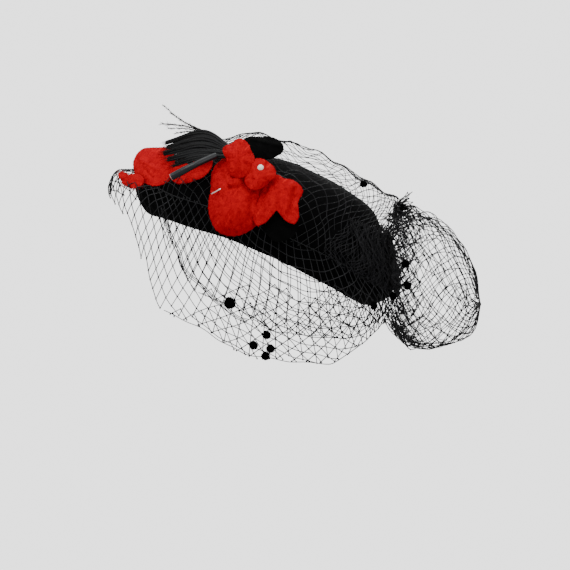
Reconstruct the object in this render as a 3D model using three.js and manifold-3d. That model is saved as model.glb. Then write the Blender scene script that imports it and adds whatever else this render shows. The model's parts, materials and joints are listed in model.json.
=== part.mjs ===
// A black velvet toque in its worn pose, with a coarse net veil, red velvet flowers, cut quills,
// a wispy feather and a pearl-headed pin. Millimetres, +Z up. The wearer looks along -Y and the
// wearer's left is +X. The origin is the middle of the rim, where a head carries the hat.
import * as THREE from 'three';
import { mergeVertices } from 'three/addons/utils/BufferGeometryUtils.js';
import Module from 'manifold-3d';

const wasm = await Module();
wasm.setup();

// Driving dimensions.
const RIM_TILT = THREE.MathUtils.degToRad(22);   // the hat is worn tipped back
const VELVET_WALL = 2.2;                         // velvet over stiff buckram
const LIP_WALL = 2;                              // the edge turned under the rim
const LIP_SLOPE = 1;                             // its inner edge stands this much higher
const CROWN_SIDES = 48;
const GORES = { count: 8, inset: 0.0015, crestGap: 0.01 };   // the crown's sections and their seams
const RUCHE = { depth: 1.3, reach: 0.62, rows: 4 };   // puckers over the forehead
const SEAT_GAP = 0.35;                           // between pieces that touch
const SEAM = 1e-4;                               // corners closer than this are one

const NET_WALL = 1.3;
const NET_CORD = 3;
const POUF_CORD = 6;                             // doubled net, so the cords show thicker
const WIDEST_GAP = 30;                           // widest opening between the net's cords
const NET_STAND_OFF = 2.4;                       // net clear of the crown's widest line
const FRONT_TO = 46;                             // the front panel ends at this angle
const SIDE_TO = 157;                             // the side panels end at this one
const PANEL_GAP = 0.4;                           // degrees between front and side panels

// The pleats sewn to the back of the crown, with the crown's rows that they cover.
const GATHER = {
  pleats: 15, stepsEach: 3, reach: 58, footRow: 2.2, headRow: 4.6, seat: 1.1, depth: 3.2, swell: 1.5,
};

const PETAL_WALL = 1.2;
const LEAF_WALL = 1.6;
const PETAL_SIDES = 24;
const QUILL = { wall: 1, steps: 6, lean: -0.45 };
const WISP = { sides: 4, steps: 5, taper: 0.7 };
const FEATHER_KNOT = 2.6;
const PIN = { shaft: 0.6, head: 3, clearance: 0.35 };
const DOT = { round: 4, height: 2.6 };

const RING_COLUMNS = ['front', 'back', 'half', 'zFront', 'zSide', 'zBack'];
const LIP_EDGE = { front: 106, back: 103, half: 80, zFront: 2, zSide: 17, zBack: 1 };
const CROWN_RINGS = table(RING_COLUMNS, [
  [116, 112, 88, 0, 15, -1.5],
  [130, 125, 93, 9, 26, 10],
  [138, 128, 95, 20, 38, 22],
  [137, 121, 93, 33, 50, 36],
  [128, 109, 86, 47, 62, 53],
  [108, 96, 74, 62, 74, 70],
  [78, 78, 56, 77, 85, 85],
  [45, 50, 34, 90, 93, 92],
]);
const CROWN_TOP = 97;
const WIDEST = CROWN_RINGS[2];
const LIP_CORNER = { ...CROWN_RINGS[0], front: 113, back: 109, half: 85 };

// The net where it is puffed up over the top of the crown, from where it leaves the velvet to the
// crest that stands highest over the back.
const DOME_RINGS = table(RING_COLUMNS, [
  [121, 106, 83, 58, 71, 66],
  [100, 106, 70, 74, 84, 84],
  [74, 100, 44, 92, 97, 100],
  [58, 70, 16, 106, 112, 106],
]);
const DOME_TOP = 116;

// The hanging net by angle from the front: how far it stands out from, and drops below, the
// crown's widest line at its top, its upper and lower bulge, and its edge.
const DRAPE_COLUMNS = [
  'angle', 'topOut', 'topDrop', 'upOut', 'upDrop', 'lowOut', 'lowDrop', 'edgeOut', 'edgeDrop',
];
const DRAPE = table(DRAPE_COLUMNS, [
  [0, -1, -14, 16, -14, 22, 8, -1, 28],
  [20, 0, -11, 17, -11, 24, 10, 7, 34],
  [34, 0, -6, 14, -3, 22, 22, 14, 47],
  [45, 0, -2, 8, 10, 16, 42, 22, 76],
  [54, 0, 0, 5, 24, 13, 62, 20, 102],
  [66, 0, 0, 4, 32, 8, 74, 10, 110],
  [83, 0, 0, 4, 38, 6, 82, 5, 121],
  [101, 0, 0, 5, 36, 7, 78, 5, 111],
  [118, 0, 0, 6, 30, 11, 66, 10, 96],
  [132, 0, 0, 8, 20, 12, 46, 10, 68],
  [150, 0, 0, 7, 12, 7, 26, 3, 39],
  [180, 0, 0, 5, 6, 4, 14, -4, 24],
]);
const HEM_RUN = 60;                              // how fast the net runs on past its ends

// The balloon of net behind the head, by its length back from the gather.
const POUF_COLUMNS = ['y', 'zLow', 'zHigh', 'half'];
const POUF = table(POUF_COLUMNS, [
  [127.5, -64, 47, 33],
  [140, -80, 51, 47],
  [155, -85, 46, 56],
  [172, -84, 36, 56],
  [188, -78, 20, 47],
  [201, -68, -3, 33],
]);
const POUF_TIP = { y: 211, z: -42 };

// How far a petal or leaf reaches from its middle every 30 degrees, seen from the wearer's left:
// straight up first, then towards the back of the head and on round.
const PETAL_COLUMNS = ['name', 'middle', 'leanUp', 'leanBack', 'bulge', 'reach'];
const FRONT_PETALS = table(PETAL_COLUMNS, [
  ['front_petal_low', [89.9, -12.4, 56.2], -0.42, 0.02, 14,
    [44, 31, 29, 27, 28, 28, 29, 29, 26, 25, 27, 40]],
  ['front_petal_lobe', [87.2, -9.1, 96.9], -0.45, 0, 4,
    [18, 15, 12.5, 14, 15, 17, 18, 18, 12.5, 13, 13, 16]],
  ['front_petal_back', [91, 11.9, 81.9], -0.5, 0, 3,
    [14.5, 12.5, 13, 13, 10, 10, 12, 15, 16, 15, 15, 16]],
  ['front_petal_tail', [93.8, 26.2, 68.3], -0.42, 0.05, 4,
    [13.5, 12, 17, 23, 22, 34, 18, 36, 20, 14, 13, 14]],
]);
const REAR_PETALS = table(PETAL_COLUMNS, [
  ['rear_petal_main', [40.5, -101.4, 91.7], -0.9, 0.35, 5,
    [14.5, 17, 25, 24, 24, 20, 18, 18, 15, 15.5, 15.5, 15.5]],
  ['rear_petal_tip', [52.7, -117.8, 75.9], -0.6, 0.4, 1,
    [4.5, 5, 7.5, 10, 10, 7, 6, 6, 7, 7.5, 13, 8]],
  ['rear_petal_wing', [68.8, -58.8, 81.9], -0.8, 0.5, 3,
    [9, 15, 26, 18, 10, 8, 7.5, 9.5, 15, 19, 16, 12]],
]);
const LEAVES = table(PETAL_COLUMNS, [
  ['leaf_upper', [53, 7, 105], -0.7, 0.1, 3,
    [11, 13, 17, 21, 15, 11, 10, 12, 17, 20, 19, 13]],
  ['leaf_lower', [97.1, 25.6, 38.2], -0.3, -0.05, 2,
    [16, 19, 21, 20, 19, 17, 16, 13, 12, 12, 13, 14]],
]);

// Cut quills: strips from their root under the front flower to a chopped tip.
const QUILL_COLUMNS = ['name', 'root', 'belly', 'tip', 'rootWidth', 'width', 'tipWidth'];
const QUILLS = table(QUILL_COLUMNS, [
  ['quill_top', [74.3, -13.4, 100.7], [46.3, -46.4, 119.7], [34.3, -86.4, 110.7], 3, 5.5, 3.5],
  ['quill_upper', [75.8, -13.9, 100.7], [50.3, -47.4, 114.2], [41.3, -84.4, 106.2], 3, 6, 3.5],
  ['quill_middle', [77.3, -14.4, 100.7], [56.3, -50.4, 108.2], [50.3, -85.4, 100.7], 3, 6, 4],
  ['quill_lower', [79.1, -14.9, 100.2], [64.3, -51.4, 102.2], [57.3, -80.4, 95.2], 3, 6, 3.5],
  ['quill_inner', [81.3, -15.4, 99.2], [73.3, -53.4, 96.7], [66.3, -73.4, 89.2], 2.5, 5, 2],
]);
const ROLLED_QUILL = {
  root: [82.5, -30.8, 99.7], belly: [91, -50, 90.6], tip: [88, -71, 80], round: 3.4, wall: 0.9,
  sides: 10, steps: 6,
};

// The wisps of the feather, from the knot that ties them to each tip.
const FEATHER_HEAD = [38.3, -43.4, 119.2];
const WISP_COLUMNS = ['bend', 'tip', 'thick'];
const WISPS = table(WISP_COLUMNS, [
  [[38.3, -66.4, 126.2], [26.3, -91.4, 128.7], 1.5],
  [[36.3, -70.4, 131.7], [24.3, -89.4, 145.7], 1],
  [[38.3, -62.4, 127.2], [26.3, -82.4, 138.7], 1],
  [[40.3, -64.4, 123.7], [28.3, -84.4, 124.2], 1],
  [[39.3, -60.4, 121.5], [32.3, -77.4, 119.5], 0.9],
]);

const PIN_ENDS = { point: [96.6, -33.2, 65.4], head: [96, 11.2, 88.6] };

// Chenille dots by the net panel that they sit on and their place across and down it.
const DOT_COLUMNS = ['name', 'panel', 'u', 'v'];
const DOTS = table(DOT_COLUMNS, [
  ['dot_cheek', 'left', 0.281, 0.66],
  ['dot_hem_1', 'left', 0.407, 0.8],
  ['dot_hem_2', 'left', 0.362, 0.91],
  ['dot_hem_3', 'left', 0.421, 0.91],
  ['dot_hem_4', 'left', 0.403, 0.98],
  ['dot_nape', 'left', 0.835, 0.5],
  ['dot_crest', 'crown', 0.626, 0.75],
  ['dot_pouf_1', 'pouf', -0.05, 0.171],
  ['dot_pouf_2', 'pouf', 0.785, 0.22],
  ['dot_pouf_3', 'pouf', 0.74, 0.25],
  ['dot_pouf_4', 'pouf', 0.692, 0.059],
]);

const VELVET_BLACK = { color: 0x08080a, roughness: 0.95, metalness: 0 };
const VELVET_RED = { color: 0xc9150f, roughness: 0.8, metalness: 0 };
const NET_BLACK = { color: 0x141416, roughness: 0.7, metalness: 0 };
const QUILL_BLACK = { color: 0x0b0b0d, roughness: 0.3, metalness: 0 };
const PEARL = { color: 0xeadfcb, roughness: 0.25, metalness: 0 };
const STEEL = { color: 0xb9b6b2, roughness: 0.3, metalness: 1 };

function table(columns, rows) {
  return rows.map((row) => Object.fromEntries(columns.map((name, k) => [name, row[k]])));
}

function place(x, y, z) {
  return new THREE.Vector3(x, y, z);
}

// A closed body from corners and triangles, turned so that its faces point out.
function closedBody(corners, triangles) {
  const raw = new THREE.BufferGeometry();
  const numbers = corners.flatMap((corner) => corner.toArray());
  raw.setAttribute('position', new THREE.Float32BufferAttribute(numbers, 3));
  raw.setIndex(triangles.flat());
  const body = mergeVertices(raw, SEAM);
  if (volume(body) < 0) turnInsideOut(body.getIndex());
  body.computeVertexNormals();
  return body;
}

function turnInsideOut(index) {
  for (let k = 0; k < index.count; k += 3) {
    const first = index.getX(k);
    index.setX(k, index.getX(k + 1));
    index.setX(k + 1, first);
  }
}

function volume(body) {
  const position = body.getAttribute('position');
  const index = body.getIndex();
  const [a, b, c] = [place(0, 0, 0), place(0, 0, 0), place(0, 0, 0)];
  let sum = 0;
  for (let k = 0; k < index.count; k += 3) {
    a.fromBufferAttribute(position, index.getX(k));
    b.fromBufferAttribute(position, index.getX(k + 1));
    c.fromBufferAttribute(position, index.getX(k + 2));
    sum += a.dot(b.cross(c)) / 6;
  }
  return sum;
}

// A skin through rings of equal count, closed by a point at each end.
function skin(rings, firstPole, lastPole) {
  const count = rings[0].length;
  const corners = [...rings.flat(), firstPole, lastPole];
  const first = corners.length - 2;
  const last = corners.length - 1;
  const foot = (rings.length - 1) * count;
  const triangles = [];
  for (let k = 0; k < count; k++) {
    const next = (k + 1) % count;
    triangles.push([first, next, k]);
    triangles.push([last, foot + k, foot + next]);
    for (let row = 0; row < foot; row += count) {
      triangles.push([row + k, row + next, row + count + next]);
      triangles.push([row + k, row + count + next, row + count + k]);
    }
  }
  return closedBody(corners, triangles);
}

// A closed slab between a grid of points and another of the same rows and columns.
function slabBody(front, back) {
  const triangles = [];
  const [along, across] = [front.length - 1, front[0].length - 1];
  const oneSide = (across + 1) * (along + 1);
  const index = (i, j, under) => under * oneSide + j * (across + 1) + i;
  const quad = (a, b, c, d) => triangles.push([a, b, c], [a, c, d]);
  for (let j = 0; j < along; j++) {
    for (let i = 0; i < across; i++) {
      quad(index(i, j, 0), index(i + 1, j, 0), index(i + 1, j + 1, 0), index(i, j + 1, 0));
      quad(index(i, j, 1), index(i, j + 1, 1), index(i + 1, j + 1, 1), index(i + 1, j, 1));
    }
  }
  for (let i = 0; i < across; i++) {
    quad(index(i, 0, 0), index(i, 0, 1), index(i + 1, 0, 1), index(i + 1, 0, 0));
    quad(index(i, along, 0), index(i + 1, along, 0), index(i + 1, along, 1), index(i, along, 1));
  }
  for (let j = 0; j < along; j++) {
    quad(index(0, j, 0), index(0, j + 1, 0), index(0, j + 1, 1), index(0, j, 1));
    quad(index(across, j, 0), index(across, j, 1), index(across, j + 1, 1), index(across, j + 1, 0));
  }
  return closedBody([...front.flat(), ...back.flat()], triangles);
}

// A sheet of the given wall through a surface, across by along.
function sheetBody(at, across, along, wall) {
  const shares = (count) => Array.from({ length: count + 1 }, (_, k) => k / count);
  const side = (sign) => shares(along).map((v) => shares(across).map((u) => (
    at(u, v).addScaledVector(facing(at, u, v), sign * wall / 2))));
  return slabBody(side(1), side(-1));
}

// The normal of a surface given by a function of two parameters.
function facing(at, u, v) {
  const step = 0.01;
  const alongU = at(u + step, v).sub(at(u - step, v));
  const alongV = at(u, v + step).sub(at(u, v - step));
  return alongU.cross(alongV).normalize();
}

// A row between two rows of a table.
function mixed(low, high, share) {
  const names = Object.keys(low);
  return Object.fromEntries(names.map((name) => [name, low[name] + (high[name] - low[name]) * share]));
}

// The row of a table at a value of one rising column.
function between(rows, column, value) {
  let k = rows.findIndex((row) => row[column] >= value);
  k = k < 0 ? rows.length - 1 : Math.max(k, 1);
  const [low, high] = [rows[k - 1], rows[k]];
  return mixed(low, high, (value - low[column]) / (high[column] - low[column]));
}

// The row of a table at a share of the way from its first row to its last.
function atShare(rows, share) {
  const climb = THREE.MathUtils.clamp(share, 0, 1) * (rows.length - 1);
  const k = Math.min(Math.floor(climb), rows.length - 2);
  return mixed(rows[k], rows[k + 1], climb - k);
}

// A point of a ring of the hat: angle 0 is the front, a quarter turn is the wearer's left.
function ringPoint(ring, angle) {
  const ahead = Math.cos(angle);
  const reach = ahead > 0 ? ring.front : ring.back;
  const lift = (ahead > 0 ? ring.zFront : ring.zBack) - ring.zSide;
  return place(ring.half * Math.sin(angle), -reach * ahead, ring.zSide + lift * ahead * ahead);
}

// A point of the hat turned to the tilt that it is worn at.
function worn(point) {
  return point.applyAxisAngle(place(1, 0, 0), -RIM_TILT);
}

function ringAngles(count) {
  return Array.from({ length: count }, (_, k) => 2 * Math.PI * k / count);
}

// Puckers over the forehead, which fade out towards the sides.
function ruched(point, k, angle, row) {
  if (row >= RUCHE.rows) return point;
  const fade = Math.max(0, Math.cos(angle) - RUCHE.reach) / (1 - RUCHE.reach);
  point.y -= RUCHE.depth * fade * (k % 2 ? 1 : -1);
  return point;
}

// The inside of the velvet wall: a ring point moved in along the shell's own slope.
function insidePoint(row, angle) {
  const turn = 0.02;
  const ring = CROWN_RINGS[row];
  const above = row + 1 < CROWN_RINGS.length
    ? ringPoint(CROWN_RINGS[row + 1], angle) : place(0, 0, CROWN_TOP);
  const up = above.sub(ringPoint(CROWN_RINGS[row - 1], angle));
  const round = ringPoint(ring, angle + turn).sub(ringPoint(ring, angle - turn));
  const out = round.cross(up).normalize();
  const puckered = Math.cos(angle) > RUCHE.reach ? RUCHE.depth : 0;
  return ringPoint(ring, angle).addScaledVector(out, -(VELVET_WALL + puckered));
}

// One gore of the velvet crown, from its edge turned in under the rim up to the crest.
function crownGore(number) {
  const sides = CROWN_SIDES / GORES.count;
  const angles = Array.from({ length: sides + 1 }, (_, k) => {
    const inset = k === 0 ? GORES.inset : k === sides ? -GORES.inset : 0;
    return 2 * Math.PI * (number * sides + k) / CROWN_SIDES + inset;
  });
  const lip = (ring, rise) => angles.map((angle) => ringPoint(ring, angle).add(place(0, 0, rise)));
  const outside = CROWN_RINGS.map((ring, row) => (
    angles.map((angle, k) => ruched(ringPoint(ring, angle), k, angle, row))));
  const inside = CROWN_RINGS.slice(1).map((_, row) => (
    angles.map((angle) => insidePoint(row + 1, angle))));
  return slabBody(
    [lip(LIP_EDGE, 0), ...outside],
    [lip(LIP_EDGE, LIP_WALL), lip(LIP_CORNER, LIP_WALL + LIP_SLOPE), ...inside],
  );
}

// The top of the crown, inside the heads of the gores.
function crownCrest() {
  const row = CROWN_RINGS.length - 1;
  const angles = ringAngles(CROWN_SIDES);
  const [top, under] = [place(0, 0, CROWN_TOP), place(0, 0, CROWN_TOP - VELVET_WALL)];
  const outside = angles.map((angle) => ringPoint(CROWN_RINGS[row], angle).lerp(top, GORES.crestGap));
  const inside = angles.map((angle) => insidePoint(row, angle).lerp(under, GORES.crestGap));
  return skin([outside, inside], top, under);
}

// A pierced sheet of net. Its knots lie where the two grid numbers add up to an even number, and
// each diamond between four knots is an opening, unless it holds a dot. Half diamonds fill the
// edges that the panel names.
class PiercedNet {
  constructor(panel, dots) {
    this.panel = panel;
    this.dots = dots;
    this.corners = [];
    this.known = new Map();
    this.triangles = [];
    this.edges = new Map();
  }

  column(i) {
    return this.panel.wrap ? (i + this.panel.across) % this.panel.across : i;
  }

  knot(i, j) {
    const { at, across, down } = this.panel;
    const [u, v] = [this.column(i) / across, j / down];
    return { point: at(u, v), out: facing(at, u, v), key: `${this.column(i)},${j}` };
  }

  corner(spot, side) {
    const name = `${spot.key},${side}`;
    if (!this.known.has(name)) {
      this.known.set(name, this.corners.length);
      this.corners.push(spot.point.clone().addScaledVector(spot.out, side * NET_WALL / 2));
    }
    return this.known.get(name);
  }

  triangle(spots, side) {
    this.triangles.push(spots.map((spot) => this.corner(spot, side)));
  }

  quad(a, b, c, d) {
    this.triangles.push([a, b, c], [a, c, d]);
  }

  noteEdges(spots) {
    spots.forEach((spot, k) => {
      const next = spots[(k + 1) % spots.length];
      this.edges.set(`${spot.key}|${next.key}`, [spot, next]);
    });
  }

  // A closed cell: a fan round its hub, or round its own first corner.
  addFilled(spots, hub) {
    this.noteEdges(spots);
    const rim = hub ? [...spots, spots[0]] : spots.slice(1);
    const centre = hub || spots[0];
    for (let k = 1; k < rim.length; k++) {
      this.triangle([centre, rim[k - 1], rim[k]], 1);
      this.triangle([centre, rim[k], rim[k - 1]], -1);
    }
  }

  // An open cell: four cords round a hole.
  addPierced(spots, name) {
    this.noteEdges(spots);
    const middle = place(0, 0, 0);
    for (const spot of spots) middle.addScaledVector(spot.point, 1 / spots.length);
    const holes = spots.map((spot, k) => {
      const reach = middle.distanceTo(spot.point);
      const hole = Math.min(reach - this.panel.cord * 0.7, WIDEST_GAP / 2);
      return { point: middle.clone().lerp(spot.point, hole / reach), out: spot.out, key: `${name},${k}` };
    });
    spots.forEach((spot, k) => {
      const n = (k + 1) % spots.length;
      const [over, under] = [1, -1].map((side) => (
        [spot, spots[n], holes[n], holes[k]].map((point) => this.corner(point, side))));
      this.quad(...over);
      this.quad(under[0], under[3], under[2], under[1]);
      this.quad(over[3], over[2], under[2], under[3]);
    });
  }

  // One cell of the grid, or nothing where an edge is left in points.
  addCell(i, j) {
    const { at, across, down, wrap, filled } = this.panel;
    const left = wrap || i > 0 ? this.knot(i - 1, j) : null;
    const right = wrap || i < across ? this.knot(i + 1, j) : null;
    const over = j > 0 ? this.knot(i, j - 1) : null;
    const under = j < down ? this.knot(i, j + 1) : null;
    const spots = [over, right, under, left].filter(Boolean);
    const edge = [[over, 'top'], [under, 'foot'], [left, 'start'], [right, 'end']]
      .find(([spot]) => !spot)?.[1];
    const dot = this.dots.find(({ u, v }) => Math.abs(u * across - i) + Math.abs(v * down - j) < 1);
    if (dot) {
      this.addFilled(spots, { point: at(dot.u, dot.v), out: facing(at, dot.u, dot.v), key: `dot${i}/${j}` });
    } else if (!edge) {
      this.addPierced(spots, `${i}/${j}`);
    } else if (filled.includes(edge)) {
      this.addFilled(spots);
    }
  }

  // The net drawn together at its far end.
  addPole() {
    const { across, down, pole } = this.panel;
    const tip = { ...pole, key: 'pole' };
    for (let i = down % 2; i < across; i += 2) {
      this.addFilled([this.knot(i + 2, down), tip, this.knot(i, down)]);
    }
  }

  // The thickness of the net along each edge that only one cell has.
  addRims() {
    for (const [name, [spot, next]] of this.edges) {
      const [from, to] = name.split('|');
      if (this.edges.has(`${to}|${from}`)) continue;
      this.quad(this.corner(spot, 1), this.corner(spot, -1), this.corner(next, -1), this.corner(next, 1));
    }
  }

  body() {
    const { across, down, wrap, pole } = this.panel;
    for (let j = 0; j <= down; j++) {
      for (let i = 0; i <= across - (wrap ? 1 : 0); i++) {
        if ((i + j) % 2) this.addCell(i, j);
      }
    }
    if (pole) this.addPole();
    this.addRims();
    return closedBody(this.corners, this.triangles);
  }
}

// The hanging net: turn is the angle round the hat in degrees, down runs from top to edge.
function drapePoint(turn, down) {
  const row = between(DRAPE, 'angle', Math.min(Math.abs(turn), 180));
  const angle = THREE.MathUtils.degToRad(turn);
  const line = { ...WIDEST };
  for (const side of ['front', 'back', 'half']) line[side] += NET_STAND_OFF;
  const start = worn(ringPoint(line, angle));
  const profile = new THREE.CatmullRomCurve3([
    place(row.topOut, 0, -row.topDrop), place(row.upOut, 0, -row.upDrop),
    place(row.lowOut, 0, -row.lowDrop), place(row.edgeOut, 0, -row.edgeDrop),
  ], false, 'centripetal');
  const inside = THREE.MathUtils.clamp(down, 0, 1);
  const offset = profile.getPoint(inside);
  offset.z -= Math.abs(down - inside) * HEM_RUN * (down > 1 ? 1 : -1);
  return start.add(place(offset.x * Math.sin(angle), -offset.x * Math.cos(angle), offset.z));
}

function sidePoint(side, u, v) {
  return drapePoint(side * (FRONT_TO + PANEL_GAP + (SIDE_TO - FRONT_TO) * u), v);
}

// The dome of net: u runs round the hat from the front, v from the sides up to the crest.
function domePoint(u, v) {
  return worn(ringPoint(atShare(DOME_RINGS, v), 2 * Math.PI * u));
}

function poufPoint(u, v) {
  const row = atShare(POUF, v);
  const angle = 2 * Math.PI * u;
  const middle = (row.zHigh + row.zLow) / 2;
  const tall = (row.zHigh - row.zLow) / 2;
  return place(row.half * Math.sin(angle), row.y, middle + tall * Math.cos(angle));
}

// Net pleated tight against the back of the crown.
function gatherBand() {
  const reach = THREE.MathUtils.degToRad(GATHER.reach);
  const at = (u, v) => {
    const angle = Math.PI + reach * (2 * u - 1);
    const wave = Math.abs(Math.sin(Math.PI * GATHER.pleats * u));
    const swell = Math.sin(Math.PI * THREE.MathUtils.clamp(v, 0, 1));
    const row = GATHER.footRow + (GATHER.headRow - GATHER.footRow) * v;
    const k = Math.floor(row);
    const point = ringPoint(CROWN_RINGS[k], angle).lerp(ringPoint(CROWN_RINGS[k + 1], angle), row - k);
    const out = place(point.x, point.y, 0.35 * point.z).normalize();
    return worn(point.addScaledVector(out, GATHER.seat + GATHER.depth * wave + GATHER.swell * swell));
  };
  return sheetBody(at, GATHER.stepsEach * GATHER.pleats, 4, NET_WALL);
}

const SIDE_PANEL = { across: 14, down: 6, filled: ['top', 'start', 'end'], cord: NET_CORD };
const NET_PANELS = {
  front: { ...SIDE_PANEL, at: (u, v) => drapePoint(FRONT_TO * (2 * u - 1), v), across: 12, down: 4 },
  left: { ...SIDE_PANEL, at: (u, v) => sidePoint(1, u, v) },
  right: { ...SIDE_PANEL, at: (u, v) => sidePoint(-1, u, v) },
  crown: {
    at: (u, v) => domePoint(-u, v), across: 28, down: 3, wrap: true, filled: ['top', 'foot'],
    pole: { point: worn(place(0, 0, DOME_TOP)), out: worn(place(0, 0, 1)) }, cord: NET_CORD,
  },
  pouf: {
    at: (u, v) => poufPoint(-u, v), across: 12, down: 5, wrap: true, filled: ['foot'],
    pole: { point: place(0, POUF_TIP.y, POUF_TIP.z), out: place(0, 1, 0) }, cord: POUF_CORD,
  },
};

function netBody(panel) {
  return new PiercedNet(NET_PANELS[panel], DOTS.filter((dot) => dot.panel === panel)).body();
}

// The reach of a petal at a turn, rounded smoothly between the values of its row.
function reachAt(reach, turn) {
  const step = (turn / (2 * Math.PI)) * reach.length;
  const k = Math.floor(step);
  const t = step - k;
  const near = (n) => reach[(k + n + reach.length) % reach.length];
  const [a, b, c, d] = [near(-1), near(0), near(1), near(2)];
  const cubic = 2 * b + (c - a) * t + (2 * a - 5 * b + 4 * c - d) * t * t
    + (3 * b - a - 3 * c + d) * t * t * t;
  return cubic / 2;
}

// A point of a petal: share runs from its middle to its edge, turn goes round it.
function petalPoint(spec, share, turn) {
  const [x, y, z] = spec.middle;
  const reach = share * reachAt(spec.reach, turn);
  const [back, up] = [reach * Math.sin(turn), reach * Math.cos(turn)];
  const swell = spec.bulge * (1 - share * share);
  return place(x + spec.leanUp * up + spec.leanBack * back + swell, y + back, z + up);
}

function petalBody(spec, wall) {
  const turns = ringAngles(PETAL_SIDES);
  const normal = place(1, -spec.leanBack, -spec.leanUp).normalize();
  const side = (sign) => [0.5, 1].map((share) => (
    turns.map((turn) => petalPoint(spec, share, turn).addScaledVector(normal, sign * wall / 2))));
  const pole = (sign) => petalPoint(spec, 0, 0).addScaledVector(normal, sign * wall / 2);
  return skin([...side(1), ...side(-1).reverse()], pole(1), pole(-1));
}

function curve(...points) {
  return new THREE.CatmullRomCurve3(points.map((point) => place(...point)), false, 'centripetal');
}

// A flat strip on edge to the crown: its width runs up and down as seen from the left.
function quillBody(spec) {
  const runOn = 10;
  const spine = curve(spec.root, spec.belly, spec.tip);
  const across = place(QUILL.lean, 0, 1).normalize();
  const at = (u, v) => {
    const t = THREE.MathUtils.clamp(v, 0, 1);
    const point = spine.getPoint(t).addScaledVector(spine.getTangent(t), (v - t) * runOn);
    const ends = spec.rootWidth + (spec.tipWidth - spec.rootWidth) * t;
    const width = ends + (spec.width - ends) * Math.sin(Math.PI * t);
    return point.addScaledVector(across, (u - 0.5) * width);
  };
  return sheetBody(at, 1, QUILL.steps, QUILL.wall);
}

function hollowRound(outer, wall, sides) {
  const circle = (radius) => ringAngles(sides).map((a) => (
    new THREE.Vector2(radius * Math.cos(a), radius * Math.sin(a))));
  const shape = new THREE.Shape(circle(outer));
  shape.holes.push(new THREE.Path(circle(outer - wall).reverse()));
  return shape;
}

// A three.js geometry with its corners merged and its faces pointing out.
function plainBody(geometry) {
  const bare = geometry.index ? geometry.toNonIndexed() : geometry;
  const position = bare.getAttribute('position');
  const corners = Array.from({ length: position.count }, (_, k) => (
    place(0, 0, 0).fromBufferAttribute(position, k)));
  const triangles = Array.from({ length: position.count / 3 }, (_, k) => [3 * k, 3 * k + 1, 3 * k + 2]);
  return closedBody(corners, triangles);
}

function rolledQuill() {
  const { root, belly, tip, round, wall, sides, steps } = ROLLED_QUILL;
  return plainBody(new THREE.ExtrudeGeometry(hollowRound(round, wall, sides), {
    steps, extrudePath: curve(root, belly, tip), bevelEnabled: false,
  }));
}

function toManifold(geometry) {
  const bare = new THREE.BufferGeometry();
  bare.setAttribute('position', geometry.getAttribute('position').clone());
  if (geometry.index) bare.setIndex(geometry.index.clone());
  const merged = mergeVertices(bare, SEAM);
  return new wasm.Manifold(new wasm.Mesh({
    numProp: 3,
    vertProperties: new Float32Array(merged.getAttribute('position').array),
    triVerts: new Uint32Array(merged.getIndex().array),
  }));
}

function fromManifold(solid) {
  const mesh = solid.getMesh();
  const geometry = new THREE.BufferGeometry();
  geometry.setAttribute('position', new THREE.Float32BufferAttribute(mesh.vertProperties, 3));
  geometry.setIndex(Array.from(mesh.triVerts));
  geometry.computeVertexNormals();
  return geometry;
}

// A four-sided wisp that tapers to its tip.
function wispBody(spec) {
  const spine = curve(FEATHER_HEAD, spec.bend, spec.tip);
  const rings = Array.from({ length: WISP.steps }, (_, k) => {
    const t = k / WISP.steps;
    const forward = spine.getTangent(t);
    const side = forward.clone().cross(place(1, 0, 0)).normalize();
    const over = side.clone().cross(forward);
    const thick = spec.thick * (1 - WISP.taper * t);
    return ringAngles(WISP.sides).map((a) => spine.getPoint(t)
      .addScaledVector(side, thick * Math.cos(a)).addScaledVector(over, thick * Math.sin(a)));
  });
  return skin(rings, spine.getPoint(0), spine.getPoint(1));
}

function featherBody() {
  const knot = plainBody(new THREE.SphereGeometry(FEATHER_KNOT, 8, 6)).translate(...FEATHER_HEAD);
  const wisps = WISPS.map((spec) => toManifold(wispBody(spec)));
  return fromManifold(wisps.reduce((sum, wisp) => sum.add(wisp), toManifold(knot)));
}

// A straight round bar between two points.
function bar(from, to, radius) {
  const [start, end] = [place(...from), place(...to)];
  const body = plainBody(new THREE.CylinderGeometry(radius, radius, start.distanceTo(end), 8));
  const forward = end.clone().sub(start).normalize();
  const turn = new THREE.Quaternion().setFromUnitVectors(place(0, 1, 0), forward);
  return body.applyQuaternion(turn).translate(...start.add(end).divideScalar(2).toArray());
}

function pinShaft() {
  const [point, head] = [place(...PIN_ENDS.point), place(...PIN_ENDS.head)];
  const stop = head.clone().addScaledVector(point.clone().sub(head).normalize(), PIN.head + SEAT_GAP);
  return bar(PIN_ENDS.point, stop.toArray(), PIN.shaft);
}

function pinHead() {
  return plainBody(new THREE.SphereGeometry(PIN.head, 12, 8)).translate(...PIN_ENDS.head);
}

// A petal with a way cut through it for the pin, where the pin passes it.
function pinned(geometry) {
  const shaft = toManifold(bar(PIN_ENDS.point, PIN_ENDS.head, PIN.shaft + PIN.clearance));
  const head = toManifold(plainBody(new THREE.SphereGeometry(PIN.head + PIN.clearance, 10, 8))
    .translate(...PIN_ENDS.head));
  return fromManifold(toManifold(geometry).subtract(shaft).subtract(head));
}

// A flattened ball of chenille on the outside of its net.
function dotBody(spec) {
  const { at } = NET_PANELS[spec.panel];
  const out = facing(at, spec.u, spec.v);
  if (out.x < 0) out.negate();
  const body = plainBody(new THREE.SphereGeometry(DOT.round, 8, 5)).scale(1, DOT.height / DOT.round, 1);
  const turn = new THREE.Quaternion().setFromUnitVectors(place(0, 1, 0), out);
  const rise = NET_WALL / 2 + SEAT_GAP + DOT.height;
  return body.applyQuaternion(turn).translate(...at(spec.u, spec.v).addScaledVector(out, rise).toArray());
}

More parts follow.
